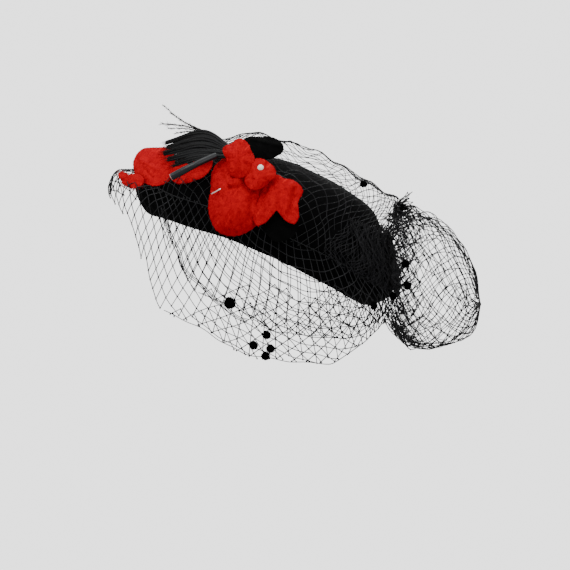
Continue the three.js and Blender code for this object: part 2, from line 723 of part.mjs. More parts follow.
function piece(name, geometry, look) {
  const mesh = new THREE.Mesh(geometry, new THREE.MeshStandardMaterial(look));
  mesh.name = name;
  return mesh;
}

function pieces(specs, shape, look) {
  return specs.map((spec) => piece(spec.name, shape(spec), look));
}

function buildHat() {
  const tipped = new THREE.Group();
  tipped.rotation.x = -RIM_TILT;
  for (let k = 0; k < GORES.count; k++) {
    tipped.add(piece(`crown_gore_${k + 1}`, crownGore(k), VELVET_BLACK));
  }
  tipped.add(piece('crown_crest', crownCrest(), VELVET_BLACK));
  const hat = new THREE.Group();
  hat.add(
    tipped,
    ...Object.keys(NET_PANELS).map((panel) => piece(`veil_${panel}`, netBody(panel), NET_BLACK)),
    piece('veil_gather', gatherBand(), NET_BLACK),
    ...pieces(FRONT_PETALS, (spec) => pinned(petalBody(spec, PETAL_WALL)), VELVET_RED),
    ...pieces(REAR_PETALS, (spec) => petalBody(spec, PETAL_WALL), VELVET_RED),
    ...pieces(LEAVES, (spec) => petalBody(spec, LEAF_WALL), VELVET_BLACK),
    ...pieces(QUILLS, quillBody, QUILL_BLACK),
    piece('quill_rolled', rolledQuill(), QUILL_BLACK),
    piece('feather', featherBody(), QUILL_BLACK),
    piece('pin_shaft', pinShaft(), STEEL),
    piece('pin_head', pinHead(), PEARL),
    ...pieces(DOTS, dotBody, NET_BLACK),
  );
  return hat;
}

export default buildHat();
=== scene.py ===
"""The looks of a black velvet toque with a net veil, red velvet flowers, cut quills and a pin.

Shapes are worked out in millimetres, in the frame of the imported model, and brought to metres
when a mesh is made: +X is the wearer's left, -Y the way the wearer faces and +Z is up.
"""

import json
import logging
import math
from collections.abc import Callable
from dataclasses import dataclass, field
from enum import Enum

import bpy
import numpy as np
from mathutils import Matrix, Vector

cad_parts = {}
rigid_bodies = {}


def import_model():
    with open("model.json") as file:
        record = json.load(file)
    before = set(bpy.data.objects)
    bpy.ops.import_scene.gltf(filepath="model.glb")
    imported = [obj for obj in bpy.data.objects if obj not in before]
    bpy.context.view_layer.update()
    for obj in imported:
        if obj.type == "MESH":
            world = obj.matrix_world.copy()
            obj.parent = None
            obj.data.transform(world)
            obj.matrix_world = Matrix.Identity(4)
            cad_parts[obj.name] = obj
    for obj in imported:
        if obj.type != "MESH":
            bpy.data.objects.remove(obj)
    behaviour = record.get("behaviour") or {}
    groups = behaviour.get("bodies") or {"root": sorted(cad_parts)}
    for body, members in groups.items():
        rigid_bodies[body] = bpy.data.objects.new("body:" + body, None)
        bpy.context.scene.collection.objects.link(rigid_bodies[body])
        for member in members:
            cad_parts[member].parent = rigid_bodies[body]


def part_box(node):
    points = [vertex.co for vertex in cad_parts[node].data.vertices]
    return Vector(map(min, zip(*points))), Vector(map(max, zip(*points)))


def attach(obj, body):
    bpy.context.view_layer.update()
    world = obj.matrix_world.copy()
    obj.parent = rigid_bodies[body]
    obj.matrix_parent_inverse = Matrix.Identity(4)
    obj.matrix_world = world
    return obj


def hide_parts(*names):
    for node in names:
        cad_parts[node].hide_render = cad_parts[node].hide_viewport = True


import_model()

LOG = logging.getLogger("toque")
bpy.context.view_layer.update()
MM = 0.001
WELD = 0.02 * MM
BODY = "root"
Colour = tuple[float, float, float]
Point = tuple[float, float, float]
Places = Callable[[np.ndarray], np.ndarray]

RIM_TILT = math.radians(22)
# Rings of the crown from its rim up: front, back and half reach, then the height at the front,
# the sides and the back.
CROWN_ROWS = np.array([
    [116, 112, 88, 0, 15, -1.5],
    [130, 125, 93, 9, 26, 10],
    [138, 128, 95, 20, 38, 22],
    [137, 121, 93, 33, 50, 36],
    [128, 109, 86, 47, 62, 53],
    [108, 96, 74, 62, 74, 70],
    [78, 78, 56, 77, 85, 85],
    [45, 50, 34, 90, 93, 92],
    [0, 0, 0, 97, 97, 97],
], float)
# The edge turned in under the rim, with the same columns.
LIP_ROWS = np.array([
    [106, 103, 80, 2, 17, 1],
    [111, 107, 84, 1, 15.5, -0.5],
], float)
WIDEST_ROW = 2
# The net puffed over the crown, with the same columns.
DOME_ROWS = np.array([
    [121, 106, 83, 58, 71, 66],
    [100, 106, 70, 74, 84, 84],
    [74, 100, 44, 92, 97, 100],
    [58, 70, 16, 106, 112, 106],
    [0, 0, 0, 116, 116, 116],
], float)
# How far the net stands off the crown's widest line.
NET_STAND_OFF = 2.4
# Shortest cord that is kept where one is cut off, in half diamonds.
SHORTEST_CORD = 0.08

# Angle from the front, then out and drop of the hanging net at its top, two bulges and its edge.
DRAPE_ROWS = np.array([
    [0, -1, -14, 16, -14, 22, 8, -1, 28],
    [20, 0, -11, 17, -11, 24, 10, 7, 34],
    [34, 0, -6, 14, -3, 22, 22, 14, 47],
    [45, 0, -2, 8, 10, 16, 42, 22, 76],
    [54, 0, 0, 5, 24, 13, 62, 20, 102],
    [66, 0, 0, 4, 32, 8, 74, 10, 110],
    [83, 0, 0, 4, 38, 6, 82, 5, 121],
    [101, 0, 0, 5, 36, 7, 78, 5, 111],
    [118, 0, 0, 6, 30, 11, 66, 10, 96],
    [132, 0, 0, 8, 20, 12, 46, 10, 68],
    [150, 0, 0, 7, 12, 7, 26, 3, 39],
    [180, 0, 0, 5, 6, 4, 14, -4, 24],
], float)

# The puffed net behind the head: length back, lowest, highest and half width.
POUF_ROWS = np.array([
    [127.5, -64, 47, 33],
    [140, -80, 51, 47],
    [155, -85, 46, 56],
    [172, -84, 36, 56],
    [188, -78, 20, 47],
    [201, -68, -3, 33],
    [211, -42, -42, 0],
], float)


def ring_points(ring: np.ndarray, angle: np.ndarray) -> np.ndarray:
    """Places points on an egg-shaped ring of the hat.

    Args:
        ring: Front, back and half reach and the three heights, one row or one for each angle.
        angle: Angles from the front, towards the wearer's left.

    Returns:
        The points, in the hat's own untilted frame.
    """
    front, back, half, z_front, z_side, z_back = np.moveaxis(np.asarray(ring, float), -1, 0)
    ahead = np.cos(angle)
    reach = np.where(ahead > 0, front, back)
    lift = np.where(ahead > 0, z_front, z_back) - z_side
    return np.stack([half * np.sin(angle), -reach * ahead, z_side + lift * ahead**2], axis=-1)


def worn(points: np.ndarray) -> np.ndarray:
    """Tips points of the hat back to the tilt that it is worn at."""
    c, s = math.cos(-RIM_TILT), math.sin(-RIM_TILT)
    x, y, z = np.moveaxis(points, -1, 0)
    return np.stack([x, y * c - z * s, y * s + z * c], axis=-1)


def spline(points: np.ndarray, share: np.ndarray) -> np.ndarray:
    """Reads a smooth curve through a list of points.

    Args:
        points: The points, one a row, or such a list for each share.
        share: Where to read, from 0 at the first point to 1 at the last.

    Returns:
        One row for each share.
    """
    share = np.asarray(share, float)
    points = np.asarray(points, float)
    points = np.broadcast_to(points, share.shape + points.shape[-2:])
    start = 2 * points[..., :1, :] - points[..., 1:2, :]
    end = 2 * points[..., -1:, :] - points[..., -2:-1, :]
    padded = np.concatenate([start, points, end], axis=-2)
    along = np.clip(share, 0, 1) * (points.shape[-2] - 1)
    k = np.minimum(along.astype(int), points.shape[-2] - 2)
    t = (along - k)[..., None]
    p0, p1, p2, p3 = (
        np.take_along_axis(padded, (k + n)[..., None, None], axis=-2)[..., 0, :] for n in range(4)
    )
    d0, d1, d2 = (
        np.maximum(np.linalg.norm(b - a, axis=-1, keepdims=True), 1e-6) ** 0.5
        for a, b in ((p0, p1), (p1, p2), (p2, p3))
    )
    m1 = ((p1 - p0) / d0 - (p2 - p0) / (d0 + d1) + (p2 - p1) / d1) * d1
    m2 = ((p2 - p1) / d1 - (p3 - p1) / (d1 + d2) + (p3 - p2) / d2) * d1
    return (
        (2 * t**3 - 3 * t**2 + 1) * p1 + (t**3 - 2 * t**2 + t) * m1
        + (-2 * t**3 + 3 * t**2) * p2 + (t**3 - t**2) * m2
    )


def unit(vectors: np.ndarray) -> np.ndarray:
    """Scales vectors to length one."""
    return vectors / np.maximum(np.linalg.norm(vectors, axis=-1, keepdims=True), 1e-9)


def wander(points: np.ndarray, size: float, wave: float = 17.0, phase: float = 0.0) -> np.ndarray:
    """Moves points a little, smoothly over space, so that nothing hand-made is quite regular.

    Args:
        points: Points in millimetres.
        size: How far the largest moves go.
        wave: The distance over which the moves change.
        phase: Shifts the pattern, so that two layers differ.

    Returns:
        The moved points.
    """
    x, y, z = np.moveaxis(points / wave, -1, 0)
    shift = np.stack([
        np.sin(2.1 * y + 1.3 * z + phase) + np.sin(3.7 * z - 2.2 * x + 2 * phase),
        np.sin(1.9 * z + 1.7 * x + 1.1 + phase) + np.sin(4.1 * x - 1.6 * y + phase),
        np.sin(2.3 * x + 1.5 * y + 2.3 + phase) + np.sin(3.3 * y - 2.9 * z + phase),
    ], axis=-1)
    return points + 0.5 * size * shift


def heading(path: np.ndarray, share: np.ndarray, step: float = 0.01) -> np.ndarray:
    """Gives the way that a smooth curve runs, as vectors of length one.

    Args:
        path: The curve's points.
        share: Where to look, from 0 at the first point to 1 at the last.
        step: How far ahead and behind to look.

    Returns:
        One vector for each share.
    """
    ahead, behind = np.clip(share + step, 0, 1), np.clip(share - step, 0, 1)
    return unit(spline(path, ahead) - spline(path, behind))


class NodeDesk:
    """A shader node tree with short calls to add and wire nodes."""

    def __init__(self, tree: bpy.types.NodeTree) -> None:
        """Takes the tree to work on and clears it."""
        self.tree = tree
        self.tree.nodes.clear()

    def add(self, kind: str, **settings: object) -> bpy.types.Node:
        """Adds a node.

        Args:
            kind: The node's Blender type.
            **settings: Attributes of the node, or defaults of its sockets by their name with
                underscores for spaces.

        Returns:
            The new node.
        """
        node = self.tree.nodes.new(kind)
        for key, value in settings.items():
            if hasattr(node, key):
                setattr(node, key, value)
            else:
                node.inputs[key.replace("_", " ")].default_value = value
        return node

    def wire(self, output: bpy.types.NodeSocket, socket: bpy.types.NodeSocket) -> None:
        """Joins an output to an input."""
        self.tree.links.new(output, socket)

    def maths(self, operation: str, *terms: object) -> bpy.types.NodeSocket:
        """Adds a Math node.

        Args:
            operation: What it does.
            *terms: Its inputs, as sockets or plain numbers.

        Returns:
            Its output.
        """
        node = self.add("ShaderNodeMath", operation=operation)
        for socket, value in zip(node.inputs, terms):
            if isinstance(value, (int, float)):
                socket.default_value = value
            else:
                self.wire(value, socket)
        return node.outputs[0]

    def ramp(self, value: bpy.types.NodeSocket,
             stops: list[tuple[float, Colour]]) -> bpy.types.NodeSocket:
        """Adds a colour ramp.

        Args:
            value: What the ramp reads.
            stops: Places and colours along it.

        Returns:
            The ramp's colour.
        """
        node = self.add("ShaderNodeValToRGB")
        elements = node.color_ramp.elements
        while len(elements) < len(stops):
            elements.new(0.5)
        for element, (place, colour) in zip(elements, stops):
            element.position = place
            element.color = (*colour, 1)
        self.wire(value, node.inputs["Fac"])
        return node.outputs["Color"]


def shader_group(name: str, inputs: dict[str, tuple[str, float]], outputs: list[str]) -> NodeDesk:
    """Starts a shader node group with named sockets.

    Args:
        name: The group's name.
        inputs: Socket type and default by name. A vector socket's default is ignored.
        outputs: Names of the outputs, which are all numbers.

    Returns:
        A desk on the new group's tree.
    """
    tree = bpy.data.node_groups.new(name, "ShaderNodeTree")
    desk = NodeDesk(tree)
    for label, (kind, default) in inputs.items():
        socket = tree.interface.new_socket(label, in_out="INPUT", socket_type=kind)
        if kind == "NodeSocketFloat":
            socket.default_value = default
    for label in outputs:
        tree.interface.new_socket(label, in_out="OUTPUT", socket_type="NodeSocketFloat")
    return desk


def nap_group() -> bpy.types.NodeTree:
    """Makes the pile of velvet: patches that lean one way or another, and single tufts.

    Returns:
        The node group, with Patches and Tufts as outputs.
    """
    desk = shader_group("velvet nap", {
        "Place": ("NodeSocketVector", 0.0),
        "Patch Scale": ("NodeSocketFloat", 90.0),
        "Tuft Scale": ("NodeSocketFloat", 1500.0),
    }, ["Patches", "Tufts"])
    inside = desk.add("NodeGroupInput")
    patches = desk.add("ShaderNodeTexNoise", Detail=5.0, Roughness=0.68, Distortion=1.1)
    tufts = desk.add("ShaderNodeTexNoise", Detail=2.0, Roughness=0.7)
    outside = desk.add("NodeGroupOutput")
    for noise, scale in ((patches, "Patch Scale"), (tufts, "Tuft Scale")):
        desk.wire(inside.outputs["Place"], noise.inputs["Vector"])
        desk.wire(inside.outputs[scale], noise.inputs["Scale"])
    desk.wire(patches.outputs["Fac"], outside.inputs["Patches"])
    desk.wire(tufts.outputs["Fac"], outside.inputs["Tufts"])
    return desk.tree


def streak_group() -> bpy.types.NodeTree:
    """Makes fine streaks that run along a strip.

    Returns:
        The node group, with Streaks as its output.
    """
    desk = shader_group("streaks", {
        "Place": ("NodeSocketVector", 0.0),
        "Across": ("NodeSocketFloat", 40.0),
        "Along": ("NodeSocketFloat", 1.5),
    }, ["Streaks"])
    inside = desk.add("NodeGroupInput")
    stretch = desk.add("ShaderNodeCombineXYZ")
    scaled = desk.add("ShaderNodeVectorMath", operation="MULTIPLY")
    noise = desk.add("ShaderNodeTexNoise", Scale=1.0, Detail=3.0, Roughness=0.6)
    outside = desk.add("NodeGroupOutput")
    desk.wire(inside.outputs["Across"], stretch.inputs["X"])
    desk.wire(inside.outputs["Along"], stretch.inputs["Y"])
    desk.wire(inside.outputs["Place"], scaled.inputs[0])
    desk.wire(stretch.outputs["Vector"], scaled.inputs[1])
    desk.wire(scaled.outputs["Vector"], noise.inputs["Vector"])
    desk.wire(noise.outputs["Fac"], outside.inputs["Streaks"])
    return desk.tree


class Slot(Enum):
    """The record's material slots."""

    VELVET = "velvet_black"
    LEAF = "velvet_leaf"
    RED = "velvet_red"
    NET = "net_black"
    CHENILLE = "chenille_black"
    QUILL = "quill_black"
    FEATHER = "feather_black"
    PEARL = "pearl"
    STEEL = "pin_steel"


@dataclass(frozen=True)
class Finish:
    """What every finish has: a name and how rough it is."""

    name: str
    roughness: float

    def start(self) -> tuple[bpy.types.Material, NodeDesk, bpy.types.Node]:
        """Starts a material with its shader wired to its output.

        Returns:
            The material, a desk on its tree and its shader.
        """
        material = bpy.data.materials.new(self.name)
        material.use_nodes = True
        desk = NodeDesk(material.node_tree)
        shader = desk.add("ShaderNodeBsdfPrincipled", Roughness=self.roughness)
        out = desk.add("ShaderNodeOutputMaterial")
        desk.wire(shader.outputs["BSDF"], out.inputs["Surface"])
        return material, desk, shader

    def bump(self, desk: NodeDesk, shader: bpy.types.Node, height: bpy.types.NodeSocket,
             strength: float, distance: float) -> None:
        """Feeds a height into the shader's normal.

        Args:
            desk: The desk on the material's tree.
            shader: The material's shader.
            height: The height from 0 to 1.
            strength: How strongly it shows.
            distance: Its depth in metres.
        """
        node = desk.add("ShaderNodeBump", Strength=strength, Distance=distance)
        desk.wire(height, node.inputs["Height"])
        desk.wire(node.outputs["Normal"], shader.inputs["Normal"])


@dataclass(frozen=True)
class VelvetFinish(Finish):
    """Cut velvet, darker where its pile leans away, with painted highlights that lighten its crease
    ridges.
    """

    deep: Colour = (0.0003, 0.0003, 0.0004)
    mid: Colour = (0.0006, 0.0006, 0.0007)
    lit: Colour = (0.002, 0.002, 0.0022)
    sheen: float = 0.0
    sheen_tint: Colour = (0.5, 0.5, 0.55)
    patch_scale: float = 90.0
    # How strongly the crease ridges are lightened in the colour: a painted highlight.
    creases: float = 0.0
    depth: float = 0.0004

    def material(self, nap: bpy.types.NodeTree) -> bpy.types.Material:
        """Makes the material.

        Args:
            nap: The velvet nap group.

        Returns:
            The material.
        """
        material, desk, shader = self.start()
        shader.inputs["Sheen Weight"].default_value = self.sheen
        shader.inputs["Sheen Roughness"].default_value = 0.35
        shader.inputs["Sheen Tint"].default_value = (*self.sheen_tint, 1)
        shader.inputs["Specular IOR Level"].default_value = 0.05
        place = desk.add("ShaderNodeTexCoord")
        pile = desk.add("ShaderNodeGroup", node_tree=nap, Patch_Scale=self.patch_scale)
        desk.wire(place.outputs["Object"], pile.inputs["Place"])
        tone = desk.maths("ADD", desk.maths("MULTIPLY_ADD", pile.outputs["Patches"], 0.7, 0.17),
                          desk.maths("MULTIPLY", pile.outputs["Tufts"], 0.22))
        height = desk.maths("MULTIPLY", pile.outputs["Tufts"], 0.5)
        if self.creases:
            veins = self.veins(desk, place)
            # Painted highlight: the crease ridges are lightened in the colour as if they caught the
            # light; the same lines also raise the bump below.
            tone = desk.maths("ADD", tone, desk.maths("MULTIPLY", veins, self.creases))
            height = desk.maths("ADD", height, desk.maths("MULTIPLY", veins, 1.4))
        colour = desk.ramp(tone, [(0.42, self.deep), (0.6, self.mid), (0.92, self.lit)])
        desk.wire(colour, shader.inputs["Base Color"])
        self.bump(desk, shader, height, 0.55, self.depth)
        return material

    def veins(self, desk: NodeDesk, place: bpy.types.Node) -> bpy.types.NodeSocket:
        """Makes thin creases that run from a petal's middle to its edge; they raise the bump and
        are painted lighter as a highlight.

        Args:
            desk: The desk on the material's tree.
            place: The texture coordinates.

        Returns:
            The creases, 1 on a crease and 0 off it.
        """
        parts = desk.add("ShaderNodeSeparateXYZ")
        around = desk.add("ShaderNodeCombineXYZ", Z=4.0)
        noise = desk.add("ShaderNodeTexNoise", Scale=1.0, Detail=1.5, Roughness=0.5)
        desk.wire(place.outputs["UV"], parts.inputs["Vector"])
        desk.wire(desk.maths("MULTIPLY", parts.outputs["X"], 34.0), around.inputs["X"])
        desk.wire(desk.maths("MULTIPLY", parts.outputs["Y"], 1.6), around.inputs["Y"])
        desk.wire(around.outputs["Vector"], noise.inputs["Vector"])
        ridge = desk.add("ShaderNodeMapRange", From_Min=0.58, From_Max=0.74)
        desk.wire(noise.outputs["Fac"], ridge.inputs["Value"])
        fade = desk.add("ShaderNodeMapRange", From_Min=0.3, From_Max=0.7)
        desk.wire(parts.outputs["Y"], fade.inputs["Value"])
        return desk.maths("MULTIPLY", ridge.outputs["Result"], fade.outputs["Result"])


@dataclass(frozen=True)
class StrandFinish(Finish):
    """Black quill, feather or net cord, streaked along its length."""

    dark: Colour = (0.0006, 0.0006, 0.0008)
    light: Colour = (0.0045, 0.005, 0.0055)
    across: float = 40.0
    along: float = 1.5
    use_uv: bool = True
    shine: float = 0.2
    coat: float = 0.0

    def material(self, streaks: bpy.types.NodeTree) -> bpy.types.Material:
        """Makes the material.

        Args:
            streaks: The streak group.

        Returns:
            The material.
        """
        material, desk, shader = self.start()
        shader.inputs["Specular IOR Level"].default_value = self.shine
        shader.inputs["Coat Weight"].default_value = self.coat
        shader.inputs["Coat Roughness"].default_value = 0.3
        place = desk.add("ShaderNodeTexCoord")
        lines = desk.add("ShaderNodeGroup", node_tree=streaks, Across=self.across, Along=self.along)
        desk.wire(place.outputs["UV" if self.use_uv else "Object"], lines.inputs["Place"])
        colour = desk.ramp(lines.outputs["Streaks"], [(0.36, self.dark), (0.68, self.light)])
        desk.wire(colour, shader.inputs["Base Color"])
        rough = desk.add("ShaderNodeMapRange", To_Min=self.roughness - 0.1,
                         To_Max=self.roughness + 0.15)
        desk.wire(lines.outputs["Streaks"], rough.inputs["Value"])
        desk.wire(rough.outputs["Result"], shader.inputs["Roughness"])
        self.bump(desk, shader, lines.outputs["Streaks"], 0.5, 0.0003)
        return material


@dataclass(frozen=True)
class PearlFinish(Finish):
    """Cream pearl lacquer with faint clouds, under a clear coat."""

    cream: Colour = (0.86, 0.76, 0.6)
    blush: Colour = (0.93, 0.86, 0.78)

    def material(self) -> bpy.types.Material:
        """Makes the material.

        Returns:
            The material.
        """
        material, desk, shader = self.start()
        shader.inputs["Coat Weight"].default_value = 0.8
        shader.inputs["Coat Roughness"].default_value = 0.08
        shader.inputs["Subsurface Weight"].default_value = 0.1
        place = desk.add("ShaderNodeTexCoord")
        clouds = desk.add("ShaderNodeTexNoise", Scale=420.0, Detail=2.0)
        desk.wire(place.outputs["Object"], clouds.inputs["Vector"])
        desk.wire(desk.ramp(clouds.outputs["Fac"], [(0.35, self.cream), (0.7, self.blush)]),
                  shader.inputs["Base Color"])
        return material


@dataclass(frozen=True)
class WireFinish(Finish):
    """Thin plated wire with drawn scratches."""

    tone: Colour = (0.93, 0.8, 0.76)
    worn_tone: Colour = (0.72, 0.6, 0.56)

    def material(self) -> bpy.types.Material:
        """Makes the material.

        Returns:
            The material.
        """
        material, desk, shader = self.start()
        shader.inputs["Metallic"].default_value = 0.75
        place = desk.add("ShaderNodeTexCoord")
        scratches = desk.add("ShaderNodeTexNoise", Scale=2600.0, Detail=3.0)
        desk.wire(place.outputs["Object"], scratches.inputs["Vector"])
        desk.wire(desk.ramp(scratches.outputs["Fac"], [(0.3, self.worn_tone), (0.6, self.tone)]),
                  shader.inputs["Base Color"])
        return material


class Wardrobe:
    """Every finish on the hat, made once."""

    def __init__(self) -> None:
        """Makes the shared groups and then each material."""
        nap, streaks = nap_group(), streak_group()
        self.black_velvet = VelvetFinish("black velvet", 0.95).material(nap)
        self.leaf_velvet = VelvetFinish(
            "black leaf velvet", 0.95, deep=(0.0003, 0.0003, 0.0003),
            mid=(0.0008, 0.0008, 0.0008), lit=(0.0025, 0.0025, 0.0025), sheen=0.005).material(nap)
        red = dict(deep=(0.15, 0.0, 0.001), mid=(0.31, 0.0, 0.004), lit=(0.52, 0.006, 0.008),
                   sheen=0.03, sheen_tint=(1.0, 0.06, 0.06), patch_scale=240.0)
        # creases=0.3 lightens the petals' crease ridges in the colour, a painted highlight.
        self.red_velvet = VelvetFinish("red velvet", 0.8, creases=0.3, **red).material(nap)
        self.red_fuzz = VelvetFinish("red velvet fuzz", 0.8, **red).material(nap)
        self.net = StrandFinish("black net cord", 0.5, use_uv=False, across=300.0,
                                along=300.0, dark=(0.003, 0.003, 0.0035),
                                light=(0.012, 0.012, 0.014)).material(streaks)
        self.chenille = VelvetFinish("black chenille", 1.0,
                                     deep=(0.0003, 0.0003, 0.0003), sheen=0.01).material(nap)
        self.quill = StrandFinish("satin quill", 0.4, shine=0.12).material(streaks)
        self.rolled_quill = StrandFinish(
            "rolled quill", 0.33, across=26.0, coat=0.15, shine=0.25,
            dark=(0.002, 0.0025, 0.003), light=(0.012, 0.014, 0.017)).material(streaks)
        self.quill_edge = StrandFinish(
            "quill cut edge", 0.45, use_uv=False, across=900.0, along=900.0,
            dark=(0.3, 0.17, 0.16), light=(0.62, 0.45, 0.42)).material(streaks)
        self.feather = StrandFinish("feather", 0.55, dark=(0.001, 0.001, 0.001),
                                    light=(0.008, 0.0075, 0.007)).material(streaks)
        self.pearl = PearlFinish("pearl", 0.25).material()
        self.wire = WireFinish("pin wire", 0.3).material()


def only(obj: bpy.types.Object) -> None:
    """Makes one object the only selected and the active one."""
    bpy.ops.object.select_all(action="DESELECT")
    obj.select_set(True)
    bpy.context.view_layer.objects.active = obj


def apply(obj: bpy.types.Object, kind: str, **settings: object) -> None:
    """Adds a modifier and applies it.

    Args:
        obj: The piece.
        kind: The modifier's Blender type.
        **settings: The modifier's settings.
    """
    only(obj)
    modifier = obj.modifiers.new(kind.title(), kind)
    for key, value in settings.items():
        setattr(modifier, key, value)
    bpy.ops.object.modifier_apply(modifier=modifier.name)


def smooth(obj: bpy.types.Object) -> None:
    """Shades an object smooth."""
    only(obj)
    bpy.ops.object.shade_smooth()


def claim(name: str, material: bpy.types.Material) -> bpy.types.Object:
    """Names the primitive that was just added and gives it its finish.

    Args:
        name: The piece's name.
        material: Its finish.

    Returns:
        The piece.
    """
    obj = bpy.context.object
    obj.name = obj.data.name = name
    obj.data.materials.append(material)
    return obj


def join(objects: list[bpy.types.Object]) -> bpy.types.Object:
    """Joins objects into the first one.

    Args:
        objects: The objects.

    Returns:
        The first object, which now holds all.
    """
    only(objects[0])
    for obj in objects[1:]:
        obj.select_set(True)
    bpy.ops.object.join()
    return objects[0]


def settle(obj: bpy.types.Object, slot: Slot, *nodes: str) -> bpy.types.Object:
    """Hands a finished piece to the frame.

    Args:
        obj: The piece, in place.
        slot: The record's material slot; not used.
        *nodes: The solids that it stands for.

    Returns:
        The piece.
    """
    only(obj)
    bpy.ops.object.transform_apply(location=True, rotation=True, scale=True)
    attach(obj, BODY)
    if nodes:
        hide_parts(*nodes)
    LOG.info("%s: %d faces", obj.name, len(obj.data.polygons))
    return obj


def sheet_from_grid(name: str, across: int, along: int,
                    at: Callable[[np.ndarray, np.ndarray], np.ndarray],
                    material: bpy.types.Material, wall: float, offset: float = 0.0,
                    levels: int = 1) -> bpy.types.Object:
    """Models a sheet: a grid primitive laid on a surface, welded, thickened and smoothed.

    Args:
        name: The piece's name.
        across: Cells in the first direction.
        along: Cells in the second direction.
        at: Gives the points in millimetres for arrays of u and v from 0 to 1.
        material: Its finish.
        wall: Its thickness in millimetres.
        offset: -1 keeps the surface on the outside, 0 in the middle of the wall.
        levels: Subdivision levels.

    Returns:
        The piece.
    """
    bpy.ops.mesh.primitive_grid_add(x_subdivisions=across, y_subdivisions=along, size=1)
    obj = claim(name, material)
    flat = np.zeros(len(obj.data.vertices) * 3)
    obj.data.vertices.foreach_get("co", flat)
    flat = flat.reshape(-1, 3)
    points = at(flat[:, 0] + 0.5, flat[:, 1] + 0.5) * MM
    obj.data.vertices.foreach_set("co", points.ravel())
    obj.data.update()
    only(obj)
    bpy.ops.object.mode_set(mode="EDIT")
    bpy.ops.mesh.select_all(action="SELECT")
    bpy.ops.mesh.remove_doubles(threshold=WELD)
    bpy.ops.mesh.normals_make_consistent(inside=False)
    bpy.ops.object.mode_set(mode="OBJECT")
    apply(obj, "SOLIDIFY", thickness=wall * MM, offset=offset, use_even_offset=False)
    if levels:
        apply(obj, "SUBSURF", levels=levels, render_levels=levels)
    smooth(obj)
    return obj


def loose_mesh(name: str, points: np.ndarray, faces: list,
               material: bpy.types.Material) -> bpy.types.Object:
    """Makes one mesh from arrays, for cords and fibres that repeat by the hundred.

    Args:
        name: The piece's name.
        points: Corners in millimetres.
        faces: Corner numbers of each face.
        material: Its finish.

    Returns:
        The piece.
    """
    mesh = bpy.data.meshes.new(name)
    mesh.from_pydata((points * MM).tolist(), [], faces)
    mesh.materials.append(material)
    mesh.shade_smooth()
    obj = bpy.data.objects.new(name, mesh)
    bpy.context.scene.collection.objects.link(obj)
    return obj


def tubes(lines: np.ndarray, radius: np.ndarray, sides: int = 3) -> tuple[np.ndarray, np.ndarray]:
    """Sweeps a small round section along many lines at once.

    Args:
        lines: Points by line and step, in millimetres.
        radius: Radius by line and step, or one that fits all.
        sides: Sides of the section.

    Returns:
        Corners and four-sided faces.
    """
    count, steps, _ = lines.shape
    forward = unit(np.gradient(lines, axis=1))
    side = unit(np.cross(forward, np.array([0.31, 0.52, 0.79])))
    over = np.cross(forward, side)
    turn = 2 * math.pi * np.arange(sides) / sides
    radius = np.broadcast_to(radius, (count, steps))[..., None, None]
    ring = (
        lines[:, :, None] + radius * np.cos(turn)[:, None] * side[:, :, None]
        + radius * np.sin(turn)[:, None] * over[:, :, None]
    )
    first = (np.arange(count)[:, None, None] * steps + np.arange(steps - 1)[:, None]) * sides
    k = np.arange(sides)
    n = (k + 1) % sides
    quads = np.stack([first + k, first + n, first + sides + n, first + sides + k], axis=-1)
    return ring.reshape(-1, 3), quads.reshape(-1, 4)


def merge(parts: list[tuple[np.ndarray, np.ndarray]]) -> tuple[np.ndarray, list]:
    """Puts several meshes together.

    Args:
        parts: The corners and the faces of each.

    Returns:
        All the corners and all the faces.
    """
    corners, faces, first = [], [], 0
    for points, sides in parts:
        corners.append(points)
        faces += (sides + first).tolist()
        first += len(points)
    return np.vstack(corners), faces


